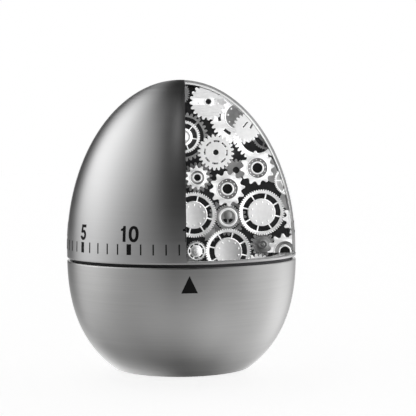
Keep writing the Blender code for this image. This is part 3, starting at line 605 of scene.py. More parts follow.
def digit(value):
    """A heavy upright figure 3.8 mm tall: (width, outlines) with its feet on y = 0 and its left at x = 0."""
    if value == "0":
        return 2.64, [squarish((1.32, 1.9), (1.32, 1.95), 2.3), squarish((1.32, 1.9), (0.54, 1.24), 2.1)]
    if value == "1":
        flag = [(0.0, 2.62), (0.0, 3.1), (0.3, 3.16), (0.55, 3.35), (0.68, 3.82)]
        return 1.34, [flag + [(1.34, 3.82), (1.34, 0.0), (0.56, 0.0), (0.56, 2.62)]]
    if value == "3":
        outline = oval((1.28, 2.80), (1.16, 1.05), 168, -45) + oval((1.28, 1.15), (1.30, 1.2), 50, -168)
        outline += oval((1.28, 1.15), (0.52, 0.48), -165, 78) + [(1.0, 1.63), (1.0, 2.3)]
        outline += oval((1.28, 2.80), (0.42, 0.38), -75, 165)
        return 2.6, [outline]
    if value == "4":
        outline = [(1.55, 0.0), (2.32, 0.0), (2.32, 0.85), (2.8, 0.85), (2.8, 1.5), (2.32, 1.5), (2.32, 3.82)]
        outline += [(1.42, 3.82), (0.0, 1.62), (0.0, 0.85), (1.55, 0.85)]
        return 2.8, [outline, [(1.55, 1.5), (1.55, 2.8), (0.72, 1.5)]]
    outline = [(2.4, 3.82), (2.4, 3.1), (1.12, 3.1), (1.02, 2.42)] + oval((1.24, 1.25), (1.28, 1.3), 76, -166, 30)
    outline += oval((1.24, 1.25), (0.5, 0.56), -160, 118, 24) + [(0.84, 1.72), (0.2, 1.78), (0.52, 3.82)]
    return 2.52, [outline]


def figure(name, text):
    """The figures of a number side by side, centred on x = 0 with their feet on y = 0."""
    curve = bpy.data.curves.new(name, "CURVE")
    curve.dimensions = "2D"
    curve.fill_mode = "BOTH"
    place = 0.0
    for value in text:
        width, outlines = digit(value)
        for outline in outlines:
            spline = curve.splines.new("POLY")
            spline.points.add(len(outline) - 1)
            for point, (x, y) in zip(spline.points, outline):
                point.co = (place + x, y, 0.0, 1.0)
            spline.use_cyclic_u = True
        place += width + 0.85
    drawn = link(name + "_drawing", curve)
    mesh = evaluated_mesh(drawn)
    remove(drawn)
    left = min(v.co.x for v in mesh.vertices)
    right = max(v.co.x for v in mesh.vertices)
    mesh.transform(Matrix.Translation((-(left + right) / 2, 0, 0)))
    return link(name, mesh)


MARK_LOW, MARK_HIGH, FIGURE_FOOT = 32.75, 35.35, 35.9


def azimuth_of(minute):
    return 4.9 + (minute - 15) * 6.0


def in_window(azimuth, half_width=0.0):
    x = RADIUS * math.sin(math.radians(azimuth + half_width))
    facing = math.cos(math.radians(azimuth)) > 0
    return facing and x > WINDOW_X


def build_scale():
    marks = []
    for minute in range(60):
        azimuth = azimuth_of(minute)
        if in_window(azimuth, 0.6):
            continue
        half = 0.60 if minute % 5 == 0 else 0.175
        outline = [(-half, MARK_LOW), (half, MARK_LOW), (half, MARK_HIGH), (-half, MARK_HIGH)]
        marks.append(wrap(flat_polygon(f"mark_{minute}", outline), azimuth))
    scale = merge("minute_marks", marks)
    finish_piece(scale, PRINT, "dial", "black_plate")

    figures = []
    for minute in range(0, 60, 5):
        azimuth = azimuth_of(minute)
        if minute in (20, 25):
            continue
        made = figure(f"figure_{minute}", str(minute))
        made.data.transform(Matrix.Translation((0, FIGURE_FOOT, 0)))
        made = wrap(made, azimuth + 0.3)
        if minute == 15:
            boolean(made, "DIFFERENCE", block("window", (WINDOW_X - 0.08, -40, BAND_TOP), (40, 0, 90)))
        figures.append(made)
    numbers = merge("dial_figures", figures)
    finish_piece(numbers, PRINT, "dial", "black_plate")


def build_pointer():
    outline = [(-2.02, 23.6), (2.02, 23.6), (0.0, 27.8)]
    pointer = wrap(flat_polygon("pointer_mark", outline), 3.5)
    pointer.name = "pointer_mark"
    finish_piece(pointer, PRINT, "movement", "black_plate")


# ---------------------------------------------------------------- wheels

FINE_MODULE = 0.196
TRAIN_MODULE = 0.375
T_LAYER, A_LAYER, B_LAYER, C_LAYER, THICK = -1.3, -0.2, 0.9, 2.0, 0.8
BORE_FLOOR = -0.85
ARBOR_TAIL = [(0.5, 4.45), (0.85, 4.45), (0.85, 4.9), (0.0, 4.9)]


def off_axis(point, centre):
    """How far a point in mm is from a wheel's axis."""
    return math.hypot(point.x - centre[0], point.z - centre[1])


def centre_of(node):
    low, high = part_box(node)
    return ((low.x + high.x) / 2 / MM, (low.z + high.z) / 2 / MM)


def phase_of(node, centre, front, back):
    """The angle of one tooth's tip, from the farthest vertex of a CAD gear between two Y values."""
    best, angle = 0.0, 0.0
    for vert in NODES[node].data.vertices:
        x, y, z = (c / MM for c in vert.co)
        if front - 0.05 <= y <= back + 0.05:
            far = math.hypot(x - centre[0], z - centre[1])
            if far > best + 1e-4:
                best, angle = far, math.atan2(z - centre[1], x - centre[0])
    return angle


def module_gear(teeth, module, phase, tip_share=0.13, root_share=0.36):
    radius = teeth * module / 2
    return gear_points(teeth, radius + 0.85 * module, radius - 1.15 * module, phase, root_share, tip_share)


def fine_wheel(stem, body):
    """A fine-toothed wheel with eight spokes, and the riveted disc on its arbor."""
    centre = centre_of(stem + "_arbor")
    phase = phase_of(stem + "_wheel", centre, A_LAYER, A_LAYER + THICK)
    outlines = [module_gear(60, FINE_MODULE, phase, 0.14, 0.38), ring_points(0.55, 16)]
    outlines += [parallel_slot(3.64, 5.03, math.radians(76 + 22.5 + 45 * i), math.radians(45), 0.34) for i in range(8)]
    rim = layer_plate(stem + "_wheel_fine", outlines, A_LAYER, centre)
    dish(rim, centre, 5.9, 4.9, 0.45)
    finish_piece(rim, BRIGHT, body, "bright_wheel", stem + "_wheel")

    hollow = 0.06 if stem == "right" else 0.30
    foot = -1.3 + 0.28 * (stem == "right") + hollow
    profile = []
    for i in range(9):
        share = i / 8
        profile.append((3.5 * share, foot - hollow * share * share))
    profile += [(3.56, profile[-1][1] + 0.06), (3.58, profile[-1][1] + 0.16), (3.58, 0.12)]
    profile += [(0.5, 0.12)] + ARBOR_TAIL
    rise = foot - hollow * (2.75 / 3.5) ** 2
    pieces = [turned("disc", profile, 72, "y", centre, 30)]
    pieces += dots("dot", 10, 2.75, 0.24, rise, centre, 0.3, 0.2)
    disc = smooth(merge(stem + "_disc", pieces), 40)
    finish_piece(disc, BRIGHT_DISC, body, "bright_wheel", stem + "_arbor")


def coarse_outline(teeth, tip, root, phase):
    """Broad teeth with rounded tips and hollows."""
    pitch = 2 * math.pi / teeth
    depth = tip - root
    flank = ((0.38, 0.04), (0.29, 0.24), (0.21, 0.52), (0.15, 0.80), (0.11, 0.93), (0.05, 1.0))
    rows = [(-0.5, 0.0)] + [(-share, rise) for share, rise in flank] + [row for row in reversed(flank)]
    points = []
    for tooth in range(teeth):
        for share, rise in rows:
            angle = phase + (tooth + share) * pitch
            points.append(((root + rise * depth) * math.cos(angle), (root + rise * depth) * math.sin(angle)))
    return points


def dish(made, centre, outer, inner, depth):
    """Sinks a wheel's front face towards its middle, so that the rim is a shallow cone."""
    middle = sum(v.co.y for v in made.data.vertices) / len(made.data.vertices)
    for vert in made.data.vertices:
        if vert.co.y < middle:
            far = off_axis(vert.co / MM, centre)
            vert.co.y += depth * MM * min(1.0, max(0.0, (outer - far) / (outer - inner)))
    made.data.update()
    return made


def pierced_hub(name, centre, ring, hole, front, dot_ring=None):
    """The collar in front of a pierced wheel: two raised lips, a dished groove with dots, and a bore that is later
    painted near-black as painted shade.
    """
    lip, groove = hole + 0.40, ring - 0.26
    profile = [(0.0, BORE_FLOOR), (hole, BORE_FLOOR), (hole, front - 0.12), (hole + 0.08, front - 0.2)]
    profile += [(lip - 0.08, front - 0.2), (lip, front - 0.12), (lip, front + 0.66)]
    profile += [(groove, front + 0.02), (groove, front - 0.1), (groove + 0.06, front - 0.16), (ring - 0.08, front - 0.16)]
    profile += [(ring, front - 0.06), (ring, T_LAYER + 0.46), (hole + 0.3, T_LAYER + 0.46), (hole + 0.3, -0.45)]
    profile += [(0.5, -0.45)] + ARBOR_TAIL
    pieces = [turned("hub", profile, 64, "y", centre, 30)]
    if dot_ring:
        deep = front + 0.66 - 0.64 * (dot_ring - lip) / (groove - lip)
        pieces += dots("dot", 12, dot_ring, 0.16, deep, centre, 0.1, 0.15)
    return smooth(merge(name, pieces), 35)


def groove_test(centre, ring, hole, front):
    """A test for the faces of a hub's dished groove, without its dots."""
    def inside(point, normal):
        far = off_axis(point, centre)
        height = front + 0.66 - 0.64 * (far - hole - 0.4) / (ring - 0.66 - hole)
        return hole + 0.41 < far < ring - 0.27 and abs(point.y - height) < 0.04

    return inside


def dark_bore(made, centre, hole, front):
    """Paints the bore of a hub near-black, as painted shade."""
    def inside(point, normal):
        return off_axis(point, centre) < hole + 0.01 and front - 0.1 < point.y < BORE_FLOOR + 0.05

    paint_faces(made, BORE_SHADE, inside)


def coarse_wheel(stem, body, teeth, tip, root, phase, ring, hole, back_gear, dot_ring):
    """A coarse-toothed wheel in the front layer, its pierced hub, and the pinion behind it."""
    centre = centre_of(stem + "_arbor")
    outlines = [coarse_outline(teeth, tip, root, phase), ring_points(hole + 0.33, 32)]
    wheel = layer_plate(stem + "_wheel_fine", outlines, T_LAYER, centre, 0.06)
    dish(wheel, centre, tip, hole + 0.33, 0.62)
    finish_piece(wheel, BRIGHT, body, "bright_wheel", stem + "_wheel")
    front = T_LAYER - 0.52
    hub = pierced_hub(stem + "_hub", centre, ring, hole, front, dot_ring)
    finish_piece(hub, BRIGHT, body, "bright_wheel", stem + "_arbor")
    # Painted shade: the hub's groove gets the darker groove steel and its bore is painted near-black.
    paint_faces(hub, GROOVE_SHADE, groove_test(centre, ring, hole, front))
    dark_bore(hub, centre, hole, front)
    if back_gear:
        teeth_behind, name, node = back_gear
        turn = phase_of(node, centre, B_LAYER, B_LAYER + THICK)
        gear = layer_plate(name, [module_gear(teeth_behind, TRAIN_MODULE, turn), ring_points(0.52, 16)], B_LAYER, centre)
        # The pinion behind is given the darker steel as painted shade.
        finish_piece(gear, SHADED_STEEL, body, "dim_wheel")


def build_wheels():
    for stem, body in (("lower", "lower_body"), ("left", "left_body"), ("right", "right_body")):
        fine_wheel(stem, body)
    coarse_wheel("coarse", "coarse_body", 12, 4.67, 3.69, math.radians(96), 2.93, 1.3, (15, "coarse_pinion", "coarse_arbor"), 2.25)
    coarse_wheel("upper_coarse", "upper_coarse_body", 12, 4.50, 3.6, math.radians(96), 2.85, 1.3, (15, "upper_coarse_pinion", "upper_coarse_arbor"), 2.2)
    build_small()
    build_slotted()
    build_ring()
    build_centre()
    build_lower_left()
    build_lower_right()
    build_bottom()
    build_idler()
    build_drive()


def build_small():
    centre = centre_of("small_arbor")
    outlines = [coarse_outline(12, 3.18, 2.52, math.radians(5)), ring_points(1.22, 24)]
    wheel = layer_plate("small_wheel_fine", outlines, T_LAYER, centre)
    dish(wheel, centre, 3.18, 1.22, 0.6)
    finish_piece(wheel, BRIGHT, "small_body", "bright_wheel", "small_wheel")
    front = T_LAYER - 0.52
    hub = pierced_hub("small_hub", centre, 2.05, 0.87, front)
    finish_piece(hub, BRIGHT, "small_body", "bright_wheel", "small_arbor")
    # Painted shade: the hub's groove gets the darker groove steel and its bore is painted near-black.
    paint_faces(hub, GROOVE_SHADE, groove_test(centre, 2.05, 0.87, front))
    dark_bore(hub, centre, 0.87, front)
    turn = phase_of("small_back_wheel", centre, B_LAYER, B_LAYER + THICK)
    outlines = [module_gear(20, TRAIN_MODULE, turn), ring_points(0.55, 16)]
    outlines += [parallel_slot(1.4, 2.8, math.radians(30 + 90 * i), math.radians(90), 0.5) for i in range(4)]
    back = layer_plate("small_back_wheel_fine", outlines, B_LAYER, centre)
    # The wheel behind is given the darker steel as painted shade.
    finish_piece(back, SHADED_STEEL, "small_body", "dim_wheel", "small_back_wheel")


def build_slotted():
    centre = centre_of("slotted_arbor")
    turn = phase_of("slotted_wheel", centre, B_LAYER, B_LAYER + THICK)
    outlines = [module_gear(24, TRAIN_MODULE, turn, 0.14, 0.36), ring_points(0.74, 20)]
    outlines += [arc_slot(2.72, 3.18, math.radians(-4 + 45 * i), math.radians(31)) for i in range(8)]
    wheel = layer_plate("slotted_wheel_fine", outlines, B_LAYER, centre)
    finish_piece(wheel, BRIGHT, "slotted_body", "bright_wheel", "slotted_wheel")
    behind = B_LAYER + THICK + 0.02
    profile = [(0.0, 1.15), (0.74, 1.15), (0.74, behind), (0.5, behind)] + ARBOR_TAIL
    arbor = turned("slotted_arbor_fine", profile, 40, "y", centre, 30)
    turn = phase_of("slotted_arbor", centre, C_LAYER, C_LAYER + THICK)
    pinion = layer_plate("pinion", [module_gear(17, TRAIN_MODULE, turn), ring_points(0.5, 16)], C_LAYER, centre)
    both = smooth(merge("slotted_arbor_fine", [arbor, pinion]), 30)
    # Painted shade: the arbor stub is near-black so the wheel's centre reads as a dark hole, and the pinion behind
    # gets the darker steel.
    finish_piece(both, BORE_SHADE, "slotted_body", "bright_wheel", "slotted_arbor")
    paint_faces(both, SHADED_STEEL, lambda p, n: p.y > B_LAYER + THICK)


def build_ring():
    """The big dim wheel cut by the window's left edge: a toothed rim and a slotted ring gear inside it."""
    centre = centre_of("ring_arbor")
    turn = phase_of("ring_wheel", centre, C_LAYER, C_LAYER + THICK)
    outlines = [module_gear(33, TRAIN_MODULE, turn), ring_points(0.55, 16)]
    outlines += [parallel_slot(4.3, 5.35, math.radians(10 + 72 * i), math.radians(72), 0.5, 14) for i in range(5)]
    wheel = layer_plate("ring_wheel_fine", outlines, C_LAYER, centre)
    finish_piece(wheel, GREY, "ring_body", "dim_wheel", "ring_wheel")
    outlines = [gear_points(44, 4.35, 4.02, 0.0), ring_points(0.6, 16)]
    outlines += [parallel_slot(2.3, 3.55, math.radians(20 + 60 * i), math.radians(60), 0.3) for i in range(6)]
    inner = plate("inner", outlines, 0.9, 1.6, centre, 0.05)
    profile = [(0.0, 0.05), (0.5, 0.08), (0.9, 0.35), (1.3, 0.4), (1.6, 0.1), (1.8, 0.1), (2.2, 0.7)]
    profile += [(2.3, 1.0), (0.55, 1.4), (0.5, 1.6)] + ARBOR_TAIL
    hub = turned("hub", profile, 48, "y", centre, 40)
    both = smooth(merge("ring_hub", [inner, hub]), 35)
    finish_piece(both, BRIGHT, "ring_body", "dim_wheel", "ring_arbor")
    # Painted shade: a black disc behind the ring gear's slots, so that they read as dark.
    ring_shade_disc = turned("ring_painted_shade_disc", [(0.9, 1.7), (4.2, 1.7), (4.2, 1.94), (0.9, 1.94)], 64, "y", centre)
    finish_piece(ring_shade_disc, BLACK, "ring_body", "black_plate")


def build_centre():
    centre = centre_of("centre_arbor")
    turn = phase_of("centre_arbor", centre, A_LAYER, A_LAYER + THICK)
    outlines = [module_gear(32, FINE_MODULE, turn, 0.14, 0.38), ring_points(0.5, 16)]
    pinion = layer_plate("pinion", outlines, A_LAYER, centre, 0.04)
    profile = [(0.0, -0.35), (1.85, -0.35), (1.85, -1.0), (1.95, -1.1), (2.4, -1.1), (2.5, -1.0)]
    profile += [(2.5, -0.21), (0.5, -0.21)] + ARBOR_TAIL
    ring = turned("ring", profile, 64, "y", centre, 30)
    slots = [arc_slot(0.5, 1.5, math.radians(middle), math.radians(58)) for middle in (232, 308)]
    bridge = plate("bridge", [ring_points(1.8, 40)] + slots, -0.72, -0.5, centre, 0.03)
    profile = [(0.0, -1.0), (0.5, -0.96), (0.9, -0.85), (1.1, -0.71), (0.0, -0.71)]
    cap = turned("cap", profile, 40, "y", (centre[0], centre[1] + 0.55))
    both = smooth(merge("centre_pinion", [pinion, ring, bridge, cap]), 30)
    finish_piece(both, GREY, "centre_body", "bright_wheel", "centre_arbor")
    paint_faces(both, BRIGHT, lambda p, n: p.y < -0.75 and off_axis(p, centre) > 1.8)
    # Painted shade: the floor seen through the bridge's slots is near-black.
    paint_faces(both, BORE_SHADE, lambda p, n: abs(p.y + 0.35) < 0.01)
    turn = phase_of("centre_wheel", centre, B_LAYER, B_LAYER + THICK)
    outlines = [module_gear(25, TRAIN_MODULE, turn), ring_points(0.55, 16)]
    outlines += [parallel_slot(1.6, 3.6, math.radians(20 + 90 * i), math.radians(90), 0.7) for i in range(4)]
    wheel = layer_plate("centre_wheel_fine", outlines, B_LAYER, centre)
    # The wheel behind is given the darker steel as painted shade.
    finish_piece(wheel, SHADED_STEEL, "centre_body", "dim_wheel", "centre_wheel")


def build_lower_left():
    centre = centre_of("lower_left_arbor")
    turn = phase_of("lower_left_arbor", centre, A_LAYER, A_LAYER + THICK)
    pinion = layer_plate("pinion", [module_gear(26, FINE_MODULE, turn, 0.14, 0.38), ring_points(0.5, 16)], A_LAYER, centre, 0.04)
    profile = [(0.0, -1.5), (0.35, -1.46), (0.42, -1.3), (0.7, -1.28), (0.8, -1.12), (1.5, -0.85), (1.58, -0.75)]
    profile += [(1.58, -0.35), (2.02, -0.35), (2.02, -1.0), (2.08, -1.06), (2.24, -1.06), (2.32, -0.98), (2.32, -0.21)]
    profile += [(0.5, -0.21)] + ARBOR_TAIL
    hub = turned("hub", profile, 64, "y", centre, 30)
    bars = []
    for i in range(8):
        outline = arc_slot(1.5, 2.05, math.radians(22 + 45 * i), math.radians(11), 2)
        bars.append(plate(f"bar_{i}", [outline], -0.86, -0.3, centre, 0.01))
    turn = phase_of("lower_left_arbor", centre, C_LAYER, C_LAYER + THICK)
    behind = layer_plate("behind", [module_gear(12, TRAIN_MODULE, turn), ring_points(0.5, 16)], C_LAYER, centre)
    both = smooth(merge("lower_left_pinion", [pinion, hub, behind] + bars), 30)
    finish_piece(both, BRIGHT, "lower_left_body", "bright_wheel", "lower_left_arbor")
    paint_faces(both, GREY, lambda p, n: p.y > -0.25)
    # Painted shade: the floor between the bars is near-black.
    paint_faces(both, BORE_SHADE, lambda p, n: abs(p.y + 0.35) < 0.01 and 1.6 < off_axis(p, centre) < 2.0)


def build_lower_right():
    centre = centre_of("lower_right_arbor")
    turn = phase_of("lower_right_arbor", centre, A_LAYER, A_LAYER + THICK)
    outlines = [module_gear(26, FINE_MODULE, turn, 0.14, 0.38), ring_points(0.5, 16)]
    pinion = layer_plate("pinion", outlines, A_LAYER, centre, 0.04)
    profile = [(0.0, -1.0), (0.3, -0.98), (0.4, -0.85), (0.45, -0.62), (0.7, -0.6), (0.78, -0.7)]
    profile += [(1.0, -0.7), (1.1, -0.6), (1.3, -0.48), (2.0, -0.4), (2.05, -0.3), (2.05, -0.21)]
    profile += [(0.5, -0.21)] + ARBOR_TAIL
    hub = turned("hub", profile, 56, "y", centre, 30)
    both = smooth(merge("lower_right_pinion", [pinion, hub]), 30)
    finish_piece(both, GREY, "lower_right_body", "dim_wheel", "lower_right_arbor")
    # Painted shade: a ring round the arbor and the outer part of the hub are given the darker steel.
    paint_faces(both, SHADED_STEEL, lambda p, n: 0.5 < off_axis(p, centre) < 0.95 and p.y < -0.3)
    paint_faces(both, SHADED_STEEL, lambda p, n: off_axis(p, centre) > 2.1 and p.y < 0.7)
    turn = phase_of("lower_right_wheel", centre, B_LAYER, B_LAYER + THICK)
    outlines = [module_gear(16, TRAIN_MODULE, turn), ring_points(0.55, 16)]
    outlines += [parallel_slot(1.3, 2.2, math.radians(90 * i), math.radians(90), 0.5) for i in range(4)]
    wheel = layer_plate("lower_right_wheel_fine", outlines, B_LAYER, centre)
    finish_piece(wheel, GREY, "lower_right_body", "dim_wheel", "lower_right_wheel")


def build_bottom():
    centre = centre_of("bottom_arbor")
    turn = phase_of("bottom_wheel", centre, B_LAYER, B_LAYER + THICK)
    wheel = layer_plate("bottom_wheel_fine", [module_gear(23, TRAIN_MODULE, turn), ring_points(0.55, 16)], B_LAYER, centre)
    finish_piece(wheel, BRIGHT, "bottom_body", "bright_wheel", "bottom_wheel")
    NODES["bottom_arbor"].data.materials.clear()
    NODES["bottom_arbor"].data.materials.append(GREY)


def build_idler():
    centre = centre_of("idler_arbor")
    turn = phase_of("idler_wheel", centre, B_LAYER, B_LAYER + THICK)
    wheel = layer_plate("idler_wheel_fine", [module_gear(14, TRAIN_MODULE, turn), ring_points(0.9, 24)], B_LAYER, centre)
    finish_piece(wheel, GREY, "idler_body", "dim_wheel", "idler_wheel")
    behind = B_LAYER + THICK
    profile = [(0.0, 1.1), (0.82, 1.1), (0.89, 1.18), (0.89, behind), (0.5, behind + 0.02)] + ARBOR_TAIL
    arbor = turned("idler_arbor_fine", profile, 40, "y", centre, 30)
    # Painted shade: the arbor stub is near-black, so the wheel's centre reads as a dark hole.
    finish_piece(arbor, BORE_SHADE, "idler_body", "brushed_steel", "idler_arbor")


def build_drive():
    centre = centre_of("drive_wheel")
    turn = phase_of("drive_wheel", centre, C_LAYER, C_LAYER + THICK)
    outlines = [module_gear(46, TRAIN_MODULE, turn), ring_points(0.55, 16)]
    outlines += [parallel_slot(2.6, 6.6, math.radians(90 * i), math.radians(90), 1.4) for i in range(4)]
    wheel = layer_plate("drive_wheel_fine", outlines, C_LAYER, centre)
    finish_piece(wheel, GREY, "drive_body", "dim_wheel", "drive_wheel")


# ---------------------------------------------------------------- fixed relief gears, cropped by the dome

def relief_space():
    """The room inside the dome that the fixed relief gears may fill."""
    rows = inner_profile(0.12, 64)
    rows += [(RADIUS - LOWER_WALL - 0.3, RELIEF_FLOOR), (0.0, RELIEF_FLOOR)]
    return turned("relief_space", rows, 192)


def relief(name, node, made, material, space):
    """A fixed gear in place of its CAD node, cut off where it meets the dome."""
    made.name = name
    boolean(made, "INTERSECT", space, keep_tool=True)
    smooth(made, 30)
    finish_piece(made, material, "movement", "bright_wheel", node)


def build_reliefs():
    space = relief_space()
    centre = (7.36, 70.87)
    top = layer_plate("a", [gear_points(21, 4.96, 4.25, math.radians(13), 0.36, 0.14), ring_points(0.74, 24)], B_LAYER, centre)
    collar = turned("b", [(0.76, 1.5), (0.76, 0.86), (0.82, 0.8), (1.0, 0.8), (1.06, 0.86), (1.06, 1.5)], 48, "y", centre)
    rivets = dots("c", 9, 2.5, 0.2, B_LAYER + 0.3, centre, 0.5, 0.15)
    dish(top, centre, 4.9, 0.8, 0.6)
    relief("relief_top_gear_fine", "relief_top_gear", top, BRIGHT, space)
    details = smooth(merge("relief_top_rivets", [collar] + rivets), 40)
    finish_piece(details, BRIGHT_DISC, "movement", "bright_wheel")

    centre = (15.2, 66.92)
    outlines = [gear_points(36, 7.5, 6.75, 0.05, 0.36, 0.14), ring_points(0.6, 12)]
    outlines += [arc_slot(4.55, 5.35, math.radians(182 + 53 * i), math.radians(23)) for i in range(5)]
    wheel = layer_plate("a", outlines, C_LAYER, centre)
    dish(wheel, centre, 7.4, 0.6, 0.6)
    relief("relief_slotted_gear_fine", "relief_slotted_gear", wheel, BRIGHT, space)
    rim = turned("rim", [(3.3, 2.5), (3.3, 1.8), (3.4, 1.7), (3.55, 1.7), (3.65, 1.8), (3.65, 2.5)], 64, "y", centre)
    relief_extra("relief_slotted_rim", [rim], BRIGHT, space)
    disc = plate("disc", [ring_points(3.28, 64)], 1.92, 2.42, centre, 0.03)
    relief_extra("relief_slotted_disc", [disc], GREY, space)
    relief_extra("relief_slotted_dots", dots("dot", 9, 2.7, 0.24, 1.93, centre, 0.2, 0.16), BRIGHT, space)

    centre = (17.4, 63.9)
    outlines = [gear_points(22, 3.75, 3.1, 0.1, 0.36, 0.14)]
    outlines += [slot_bar(-0.45, 0.75, 50, 1.9, 0.36), slot_bar(1.15, 0.35, 62, 1.4, 0.5)]
    small = layer_plate("a", outlines, T_LAYER, centre)
    relief("relief_small_gear_fine", "relief_small_gear", small, BRIGHT, space)
    # Painted shade: a near-black disc behind the small relief gear, so its slots read as dark.
    backing = plate("a", [ring_points(2.5, 48)], T_LAYER + THICK + 0.02, T_LAYER + THICK + 0.2, centre, 0.02)
    relief_extra("relief_small_painted_shade", [backing], BORE_SHADE, space)

    centre = (20.11, 61.66)
    hoop = layer_plate("a", [gear_points(32, 6.39, 5.6, 0.05, 0.36, 0.14), ring_points(4.46, 48)], A_LAYER, centre)
    dish(hoop, centre, 6.39, 4.46, 0.5)
    relief("relief_ring_gear_fine", "relief_ring_gear", hoop, BRIGHT, space)
    centre = (22.9, 62.2)
    outlines = [gear_points(40, 4.2, 3.95, 0.0), ring_points(1.6, 32)]
    outlines += [parallel_slot(2.3, 3.5, math.radians(40 + 60 * i), math.radians(60), 0.3) for i in range(6)]
    # The wheel behind is given the darker steel as painted shade.
    relief_extra("relief_ring_behind", [plate("a", outlines, B_LAYER, B_LAYER + 0.6, centre, 0.04)], SHADED_STEEL, space)

    centre = (27.05, 31.35)
    outlines = [coarse_outline(12, 4.65, 3.67, math.radians(95)), ring_points(1.0, 24)]
    corner = layer_plate("a", outlines, T_LAYER, centre, 0.06)
    dish(corner, centre, 4.65, 1.0, 0.6)
    front = T_LAYER - 0.52
    collar = [(0.0, front + 0.35), (1.3, front + 0.35), (1.3, front - 0.12), (1.38, front - 0.2), (1.62, front - 0.2)]
    collar += [(1.7, front - 0.12), (1.7, front + 0.66), (2.67, front + 0.02), (2.67, front - 0.1), (2.73, front - 0.16)]
    collar += [(2.85, front - 0.16), (2.93, front - 0.06), (2.93, T_LAYER + 0.46), (0.0, T_LAYER + 0.46)]
    relief("relief_corner_gear_fine", "relief_corner_gear", corner, BRIGHT, space)
    hub = relief_extra("relief_corner_hub", [turned("hub", collar, 64, "y", centre, 30)], BRIGHT, space)
    # Painted shade: the bore is near-black and the groove gets the darker groove steel.
    paint_faces(hub, BORE_SHADE, lambda p, n: off_axis(p, centre) < 1.31 and p.y > front - 0.02)
    paint_faces(hub, GROOVE_SHADE, groove_test(centre, 2.93, 1.3, front))

    centre = (28.5, 49.95)
    outlines = [gear_points(50, 4.0, 3.72, 0.0), ring_points(0.5, 12)]
    outlines += [parallel_slot(2.2, 3.42, math.radians(180 + 30 + 60 * i), math.radians(60), 0.28) for i in range(6)]
    wheel = layer_plate("a", outlines, A_LAYER, centre, 0.04)
    relief("relief_edge_gear_fine", "relief_edge_gear", wheel, BRIGHT, space)
    behind = plate("a", [ring_points(3.6, 48)], A_LAYER + THICK + 0.02, A_LAYER + THICK + 0.2, centre, 0.04)
    relief_extra("relief_edge_backing", [behind], GREY, space)
    centre = (25.0, 52.6)
    # Painted shade: a grey disc among the relief gears stands for the shade there.
    shade_disc_piece = plate("a", [ring_points(3.3, 64)], C_LAYER, C_LAYER + 0.5, centre, 0.05)
    relief_extra("relief_painted_shade_disc", [shade_disc_piece], GREY, space)
    side_disc = plate("a", [ring_points(2.7, 48)], C_LAYER, C_LAYER + 0.5, (28.9, 44.9), 0.05)
    relief_extra("relief_side_disc", [side_disc], GREY, space)
    centre = (31.6, 39.6)
    outlines = [coarse_outline(13, 4.75, 3.75, math.radians(179))]
    wheel = layer_plate("a", outlines, C_LAYER, centre)
    relief("relief_side_gear_fine", "relief_side_gear", wheel, BRIGHT, space)
    centre = (-0.95, 73.1)
    arc = plate("a", [gear_points(34, 3.4, 3.05, 0.0), ring_points(0.6, 12)], C_LAYER, C_LAYER + 0.6, centre, 0.04)
    relief_extra("relief_left_rim", [arc], GREY, space)
    remove(space)


def slot_bar(u, v, angle, length, width):
    """A straight slot centred on (u, v), turned by angle."""
    turn = math.radians(angle)
    along = (math.cos(turn) * length / 2, math.sin(turn) * length / 2)
    across = (-math.sin(turn) * width / 2, math.cos(turn) * width / 2)
    signs = ((1, 1), (-1, 1), (-1, -1), (1, -1))
    return [(u + a * along[0] + b * across[0], v + a * along[1] + b * across[1]) for a, b in signs]


def relief_extra(name, pieces, material, space):
    made = merge(name, pieces)
    boolean(made, "INTERSECT", space, keep_tool=True)
    smooth(made, 35)
    return finish_piece(made, material, "movement", "bright_wheel")


# ---------------------------------------------------------------- plates and the parts kept from CAD

def build_plate():
    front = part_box("main_plate")[0].y / MM
    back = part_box("main_plate")[1].y / MM
    top = []
    for r, z in inner_profile(0.3, 64):
        if r > back + 0.4 and z > EQUATOR + 0.01:
            top.append((math.sqrt(r * r - back * back), z))
    right = top + [(math.sqrt((RADIUS - LOWER_WALL - 0.6) ** 2 - back * back), RELIEF_FLOOR), (24.2, RELIEF_FLOOR)]
    left = [(-x, z) for x, z in reversed(right)]
    tail = [(24.2, 23.2), (14.0, 22.6), (11.5, 13.6), (-11.5, 13.6), (-12.9, 26.0), (-12.9, 28.2), (-24.2, 28.2)]
    made = plate("main_plate_fine", [right + tail + left], front, back, (0.0, 0.0), 0.05)
    finish_piece(made, PLATE, "movement", "black_plate", "main_plate")


def dress_cad():
    """Gives each CAD node that still shows a finished material."""
    finishes = {
        "carrier_ring": GREY, "chassis": BLACK, "base_cover": BLACK, "foot_ring": RUBBER,
        "rear_bridge": BRASS, "mainspring_barrel": BRASS, "balance_wheel": BRASS,
        "mainspring": GREY, "hairspring": GREY, "escape_wheel": GREY, "pallet_lever": GREY,
        "drive_arbor": GREY, "bell": BRIGHT_DISC, "bell_post": GREY, "hammer": GREY, "hammer_post": GREY,
        "base_screw_1": GREY, "base_screw_2": GREY, "base_screw_3": GREY,
        "bridge_pillar_1": GREY, "bridge_pillar_2": GREY, "bridge_pillar_3": GREY,
    }
    for name, material in finishes.items():
        mesh = NODES[name].data
        mesh.materials.clear()
        mesh.materials.append(material)


# ---------------------------------------------------------------- stage, light and camera

def build_stage():
    bm = bmesh.new()
    bmesh.ops.create_grid(bm, x_segments=1, y_segments=1, size=6.0)
    floor = link("studio_floor", from_bmesh("studio_floor", bm))
    made = Nodes("white_sweep")
    cloud = made.noise(made.position(), 3.0, 2.0)
    made.wire(made.ramp(cloud, [(0.3, 0.79), (0.7, 0.81)]), "Base Color")
    made.fixed(Roughness=0.9, Emission_Color=(1.0, 1.0, 1.0, 1.0), Emission_Strength=0.72)
    floor.data.materials.append(made.material)
    floor.visible_glossy = False


EVEN_LIGHT = 0.33


